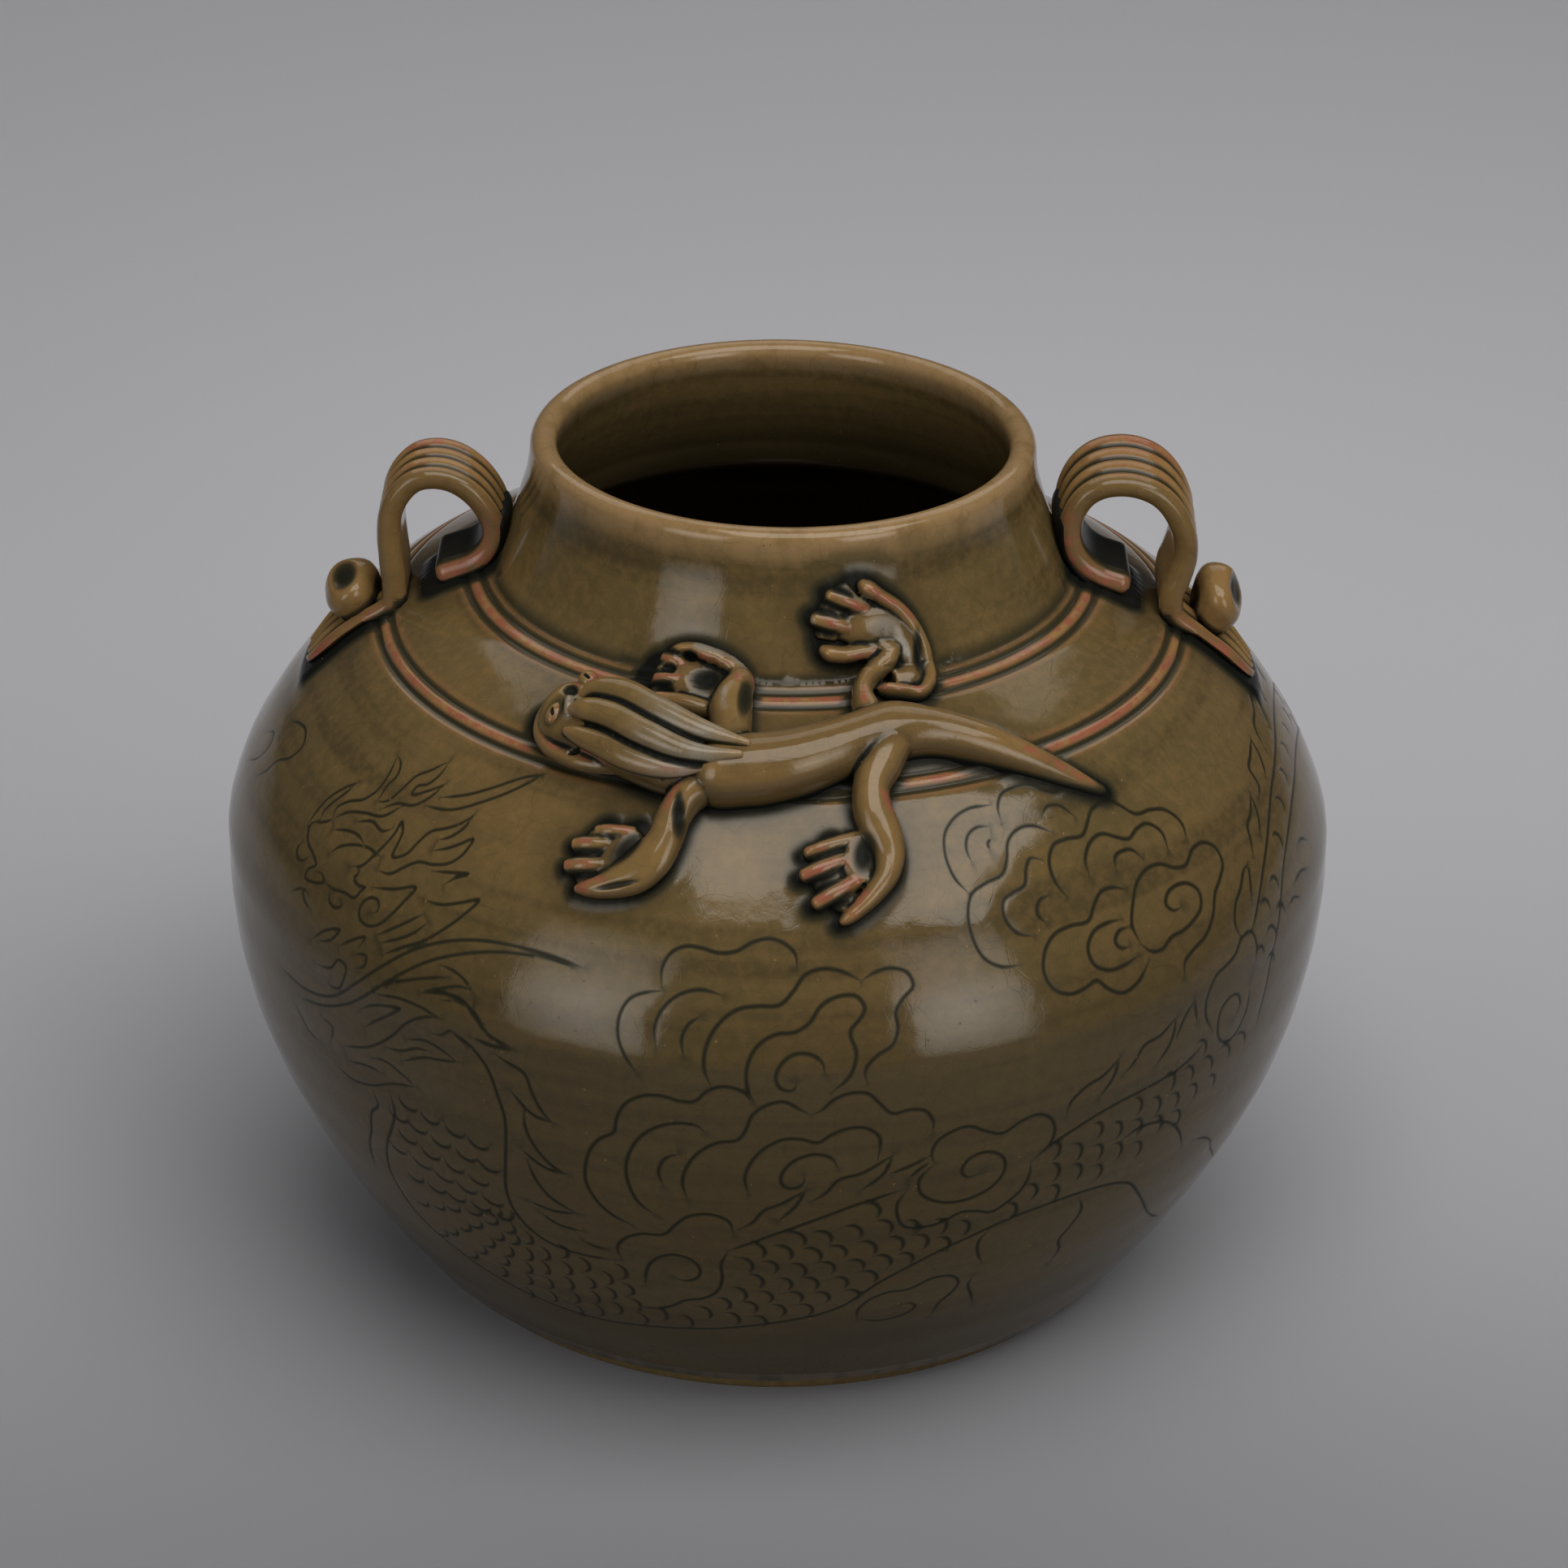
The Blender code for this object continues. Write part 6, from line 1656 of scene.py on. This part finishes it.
def celadon(name, look, paleness):
    """Make the glaze: olive where it lies even, dark where it pools, tan and pink where it runs thin, with
    painted shade, shadow and highlights.
    """
    board = Board(name)
    times, ramp, noise, blend = board.times, board.ramp, board.noise, board.blend
    drift = board.add("ShaderNodeTexNoise", {"Vector": board.place, "Scale": 90.0}, "Color")
    shift = board.add("ShaderNodeVectorMath", {0: drift, "Scale": 0.004}, operation="SCALE")
    warped = board.add("ShaderNodeVectorMath", {0: board.place, 1: shift}, operation="ADD")

    # The glaze where it lies even: clouds, turned bands and fine grain.
    cloud = noise(28.0, 4.0, 0.55)
    fine = noise(420.0, 4.0, 0.6)
    banded = noise(1.0, 3.0, 0.55, along=board.stretched((9.0, 9.0, 210.0)))
    colour = blend(ramp(cloud, 0.36, 0.68), look.body_colour, look.warm_colour)
    colour = blend(ramp(banded, 0.42, 0.66, 0.0, 0.55), colour, look.deep_glaze_and_shade_colour)
    colour = blend(ramp(fine, 0.35, 0.75, 0.0, 0.22), colour, look.thin_glaze_and_highlight_colour)

    # What was painted on the points: painted shade, thin, burnt and milky glaze with painted highlights, and
    # pooled glaze with painted shadow.
    shaded = times(board.attribute("shade"), ramp(cloud, 0.2, 0.7, 0.75, 1.0))
    colour = blend(shaded, colour, look.deep_glaze_and_shade_colour)
    runs = noise(150.0, 3.0, 0.6)
    thin = times(board.attribute("thin"), ramp(runs, 0.25, 0.55, 0.45, 1.0), True)
    colour = blend(board.math("ADD", thin, paleness, True), colour, look.thin_glaze_and_highlight_colour)
    patches = ramp(noise(310.0, 3.0, 0.65), 0.40, 0.58, 0.12, 1.0)
    blush = times(patches, board.attribute("blush"), True)
    colour = blend(times(blush, 0.85), colour, look.blush_colour)
    pearl_and_highlight = times(board.attribute("pearl_and_highlight"), ramp(runs, 0.3, 0.6, 0.3, 1.0), True)
    colour = blend(pearl_and_highlight, colour, look.pearl_and_glint_colour)
    pool_and_shadow = board.attribute("pool_and_shadow")
    colour = blend(ramp(pool_and_shadow, 0.04, 0.5), colour, look.green_colour)
    colour = blend(ramp(pool_and_shadow, 0.4, 0.95, 0.0, 0.97), colour, look.pooled_glaze_and_shadow_colour)

    # Crackle in two sizes, dark specks and pale pin holes.
    lines = ramp(board.cells(230.0, along=warped), 0.0, 0.028, 1.0, 0.0)
    fine_lines = ramp(board.cells(560.0, along=warped), 0.0, 0.04, 1.0, 0.0)
    patchy = ramp(noise(40.0), 0.42, 0.62)
    lines = board.math("MAXIMUM", lines, times(fine_lines, times(patchy, 0.5)))
    colour = blend(times(lines, look.crackle_share), colour, look.pooled_glaze_and_shadow_colour)
    dots = times(ramp(board.cells(620.0, "F1"), 0.09, 0.15, 1.0, 0.0), ramp(noise(70.0), 0.55, 0.68))
    colour = blend(times(dots, 0.55), colour, look.deep_glaze_and_shade_colour)
    pale_dots = ramp(board.cells(300.0, "F1"), 0.05, 0.085, 0.5, 0.0)
    colour = blend(times(pale_dots, ramp(fine, 0.5, 0.62)), colour, look.thin_glaze_and_highlight_colour)

    # Gloss and the small relief of the surface.
    smear = ramp(noise(60.0, 4.0, 0.6), 0.35, 0.7, look.gloss, look.gloss + 0.04)
    shine = board.math("SUBTRACT", 1.0, times(board.attribute("dull"), 0.7))
    waves = board.bump(noise(130.0, 2.0, 0.5), 0.16, 0.0005)
    skin = board.bump(noise(1500.0, 3.0, 0.6), 0.2, 0.00004, waves)
    split = board.bump(board.math("SUBTRACT", 1.0, lines), 0.12, 0.00003, skin)
    holes = board.bump(board.math("SUBTRACT", 1.0, pale_dots), 0.4, 0.00012, split)
    sockets = {
        "Base Color": colour,
        "Roughness": board.math("ADD", smear, times(pool_and_shadow, look.pool_softness)),
        "Specular IOR Level": times(ramp(pool_and_shadow, 0.15, 0.8, 0.5, 0.07), shine),
        "IOR": 1.45,
        "Normal": holes,
    }
    board.feed(board.shader, sockets)
    return board.material


def paper(name, colour):
    """Make the matt grey sheet that the jar stands on, with painted shade darkening its near end."""
    board = Board(name)
    # Painted shade: the near end of the sheet is darker than its far end.
    back = board.ramp(board.add("ShaderNodeSeparateXYZ", {0: board.place}, "Y"), *PAPER_FADE)
    near = tuple(PAPER_NEAR_SHADE * c for c in colour)
    grain = board.bump(board.noise(900.0, 2.0), 0.1, 0.0002)
    sockets = {"Base Color": board.blend(back, near, colour), "Roughness": PAPER_ROUGHNESS, "Normal": grain}
    board.feed(board.shader, sockets)
    return board.material


def colour_setting(name, description, default):
    """Return a colour for the panel."""
    return bpy.props.FloatVectorProperty(name=name, description=description, default=default, subtype="COLOR")


def share_setting(name, description, default, top=1.0):
    """Return a number between zero and a top for the panel."""
    return bpy.props.FloatProperty(
        name=name, description=description, default=default, min=0.0, max=top, subtype="FACTOR"
    )


def angle_setting(name, description, degrees):
    """Return an angle for the panel."""
    default = math.radians(degrees)
    return bpy.props.FloatProperty(name=name, description=description, default=default, subtype="ANGLE")


class JAR_PG_vessel(bpy.types.PropertyGroup):
    """The hand of the carver and the shading of the wall."""

    seed: bpy.props.IntProperty(
        name="Hand", description="Changes the small unevenness of the scales", default=7, min=0
    )
    smoothing: angle_setting("Sharpest curve", "Corners up to this angle are shaded as one curve", 62.0)


class JAR_PG_glaze(bpy.types.PropertyGroup):
    """Colours and gloss of the celadon glaze."""

    body_colour: colour_setting("Body", "Glaze that lies even", (0.122, 0.090, 0.036))
    warm_colour: colour_setting("Warm patches", "Glaze fired a little browner", (0.155, 0.106, 0.042))
    # Deep: also the colour of painted shade.
    deep_glaze_and_shade_colour: colour_setting("Deep", "Glaze that lies thicker", (0.052, 0.040, 0.019))
    # Green and Pooled: also the colours of painted shadow round what is luted on and in the curls.
    green_colour: colour_setting("Green", "Glaze that gathers in a shallow groove", (0.036, 0.032, 0.017))
    pooled_glaze_and_shadow_colour: colour_setting("Pooled", "Glaze that fills a groove or a joint", (0.0075, 0.0085, 0.008))
    # Thin: also the colour of a painted highlight on the lip.
    thin_glaze_and_highlight_colour: colour_setting("Thin", "Glaze drawn thin over an edge", (0.31, 0.188, 0.070))
    blush_colour: colour_setting("Blush", "Clay that burns pink through thin glaze", (0.30, 0.095, 0.062))
    # Pearl: also the colour of painted glints on the relief and a painted highlight on the lip.
    pearl_and_glint_colour: colour_setting("Pearl", "Milky blue where glaze lies thick on relief", (0.27, 0.275, 0.25))
    pool_softness: share_setting("Pool softness", "Roughness added where glaze pools", 0.25, 0.6)
    gloss: share_setting("Roughness", "Lowest roughness of the glaze", 0.075)
    crackle_share: share_setting("Crackle", "How dark the crackle lines are", 0.16)


class JAR_PG_stage(bpy.types.PropertyGroup):
    """The colour of the sheet, and the camera."""

    sheet_colour: colour_setting("Sheet", "Colour of the floor and its rising back", (0.59, 0.618, 0.70))
    lens: bpy.props.FloatProperty(
        name="Focal length", description="Focal length of the camera in millimetres", default=97.15, min=20.0
    )
    camera_place: bpy.props.FloatVectorProperty(
        name="Camera",
        description="Where the camera stands",
        default=(0.00115, -0.7873, 0.5131),
        unit="LENGTH",
    )
    camera_tilt: angle_setting("Tilt", "How far the camera looks down", 27.72)
    camera_roll: angle_setting("Roll", "How far the camera leans", 0.85)


def glaze_for(context, paleness):
    """Return the glaze of one paleness, made once."""
    name = "celadon_glaze" if paleness == 0.0 else "celadon_glaze_thin"
    return bpy.data.materials.get(name) or celadon(name, context.scene.jar_glaze, paleness)


class JAR_OT_throw_vessel(bpy.types.Operator):
    """Throw, carve and glaze the vessel"""

    bl_idname = "jar.throw_vessel"
    bl_label = "Throw and Carve the Vessel"

    def execute(self, context):
        settings = context.scene.jar_vessel
        skin = glazed_vessel(np.random.default_rng(settings.seed))
        nodes = ("lower_body", "upper_body", "neck_collar")
        finish_piece(skin, glaze_for(context, 0.0), nodes, settings.smoothing)
        settle_shading(skin)
        return {"FINISHED"}


class JAR_OT_roll_dragon(bpy.types.Operator):
    """Roll the relief dragon and lute it to the shoulder"""

    bl_idname = "jar.roll_dragon"
    bl_label = "Roll the Relief Dragon"

    def execute(self, context):
        body = dragon_relief()
        legs = [f"dragon_{leg}leg_{row}" for leg in ("fore", "hind") for row in ("upper", "lower")]
        thin = glaze_for(context, RELIEF_PALENESS)
        finish_piece(body, thin, ("dragon_torso", "dragon_head", *legs), RELIEF_SMOOTHING)
        finish_piece(dragon_mane(), thin, tuple(MANE), RELIEF_SMOOTHING)
        finish_piece(dragon_eyes(), thin, tuple(EYES), RELIEF_SMOOTHING)
        return {"FINISHED"}


class JAR_OT_pull_handles(bpy.types.Operator):
    """Pull the strap handles and press in their pellets"""

    bl_idname = "jar.pull_handles"
    bl_label = "Pull the Strap Handles"

    def execute(self, context):
        thin = glaze_for(context, RELIEF_PALENESS)
        for word in SIDES:
            finish_piece(strap_handle(word), thin, (f"handle_{word}",), RELIEF_SMOOTHING)
            finish_piece(pellet(word), thin, (f"pellet_{word}",), RELIEF_SMOOTHING)
        return {"FINISHED"}


def soft_box(name, place, aim, size, power, spread):
    """Hang a soft lamp that points at a place."""
    bpy.ops.object.select_all(action="DESELECT")
    bpy.ops.object.light_add(type="AREA", location=place)
    lamp = bpy.context.object
    lamp.name = name
    lamp.data.shape = "RECTANGLE"
    lamp.data.size, lamp.data.size_y = size
    lamp.data.energy = power
    lamp.data.spread = math.radians(spread)
    lamp.data.color = LAMP_COLOUR
    toward = (Vector(aim) - Vector(place)).normalized()
    lamp.rotation_mode = "QUATERNION"
    lamp.rotation_quaternion = toward.to_track_quat("-Z", "Y")


class JAR_OT_set_stage(bpy.types.Operator):
    """Lay the grey sheet, hang the lamps and place the camera"""

    bl_idname = "jar.set_stage"
    bl_label = "Set the Stage"

    def execute(self, context):
        settings = context.scene.jar_stage
        bpy.ops.object.select_all(action="DESELECT")
        bpy.ops.mesh.primitive_plane_add(size=PAPER_SIDE, location=(0.0, 0.0, 0.0))
        sheet = context.object
        sheet.name = "grey_sheet"
        bpy.ops.object.mode_set(mode="EDIT")
        bpy.ops.mesh.select_all(action="DESELECT")
        bpy.ops.object.mode_set(mode="OBJECT")
        for edge in sheet.data.edges:
            edge.select = all(sheet.data.vertices[v].co.y > 0.49 * PAPER_SIDE for v in edge.vertices)
        bpy.ops.object.mode_set(mode="EDIT")
        bpy.ops.mesh.select_mode(type="EDGE")
        for angle in range(9, 91, 9):
            rise = (0.0, *polar(PAPER_STEP, math.radians(angle)))
            bpy.ops.mesh.extrude_region_move(TRANSFORM_OT_translate={"value": rise})
        bpy.ops.mesh.extrude_region_move(TRANSFORM_OT_translate={"value": (0.0, 0.0, PAPER_RISE)})
        bpy.ops.object.mode_set(mode="OBJECT")
        bpy.ops.object.shade_smooth()
        sheet.data.materials.append(paper("grey_paper", tuple(settings.sheet_colour)))
        for lamp in LAMPS:
            soft_box(*lamp)
        world = bpy.data.worlds.new("studio")
        world.use_nodes = True
        background = world.node_tree.nodes["Background"]
        background.inputs["Color"].default_value = WORLD_COLOUR
        background.inputs["Strength"].default_value = WORLD_STRENGTH
        context.scene.world = world
        bpy.ops.object.camera_add(location=settings.camera_place)
        camera = context.object
        camera.name = "camera"
        camera.data.lens = settings.lens
        camera.data.sensor_width = 36.0
        camera.data.clip_start = 0.01
        ahead = Vector((0.0, math.cos(settings.camera_tilt), -math.sin(settings.camera_tilt)))
        camera.rotation_mode = "QUATERNION"
        level = ahead.to_track_quat("-Z", "Y")
        camera.rotation_quaternion = level @ Quaternion((0.0, 0.0, 1.0), settings.camera_roll)
        context.scene.camera = camera
        context.scene.view_settings.view_transform = "Standard"
        return {"FINISHED"}


class JAR_PT_sidebar(bpy.types.Panel):
    """Buttons and settings of the jar in the 3D view's sidebar."""

    bl_label = "Celadon Jar"
    bl_idname = "JAR_PT_sidebar"
    bl_space_type = "VIEW_3D"
    bl_region_type = "UI"
    bl_category = "Celadon Jar"

    def draw(self, context):
        for operator in OPERATORS:
            self.layout.operator(operator.bl_idname)
        for group in (context.scene.jar_vessel, context.scene.jar_glaze, context.scene.jar_stage):
            for name in group.bl_rna.properties.keys():
                if name not in ("rna_type", "name"):
                    self.layout.prop(group, name)


GROUPS = {"jar_vessel": JAR_PG_vessel, "jar_glaze": JAR_PG_glaze, "jar_stage": JAR_PG_stage}
OPERATORS = (JAR_OT_throw_vessel, JAR_OT_roll_dragon, JAR_OT_pull_handles, JAR_OT_set_stage)


def register():
    """Register the add-on's classes and its settings on the scene."""
    for group in GROUPS.values():
        bpy.utils.register_class(group)
    for part in (*OPERATORS, JAR_PT_sidebar):
        bpy.utils.register_class(part)
    for name, group in GROUPS.items():
        setattr(bpy.types.Scene, name, bpy.props.PointerProperty(type=group))


def unregister():
    """Remove the add-on's settings and classes."""
    for name in GROUPS:
        delattr(bpy.types.Scene, name)
    for part in (JAR_PT_sidebar, *reversed(OPERATORS), *reversed(GROUPS.values())):
        bpy.utils.unregister_class(part)


def main():
    """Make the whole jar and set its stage."""
    register()
    bpy.ops.jar.throw_vessel()
    bpy.ops.jar.roll_dragon()
    bpy.ops.jar.pull_handles()
    bpy.ops.jar.set_stage()


if __name__ == "__main__":
    main()
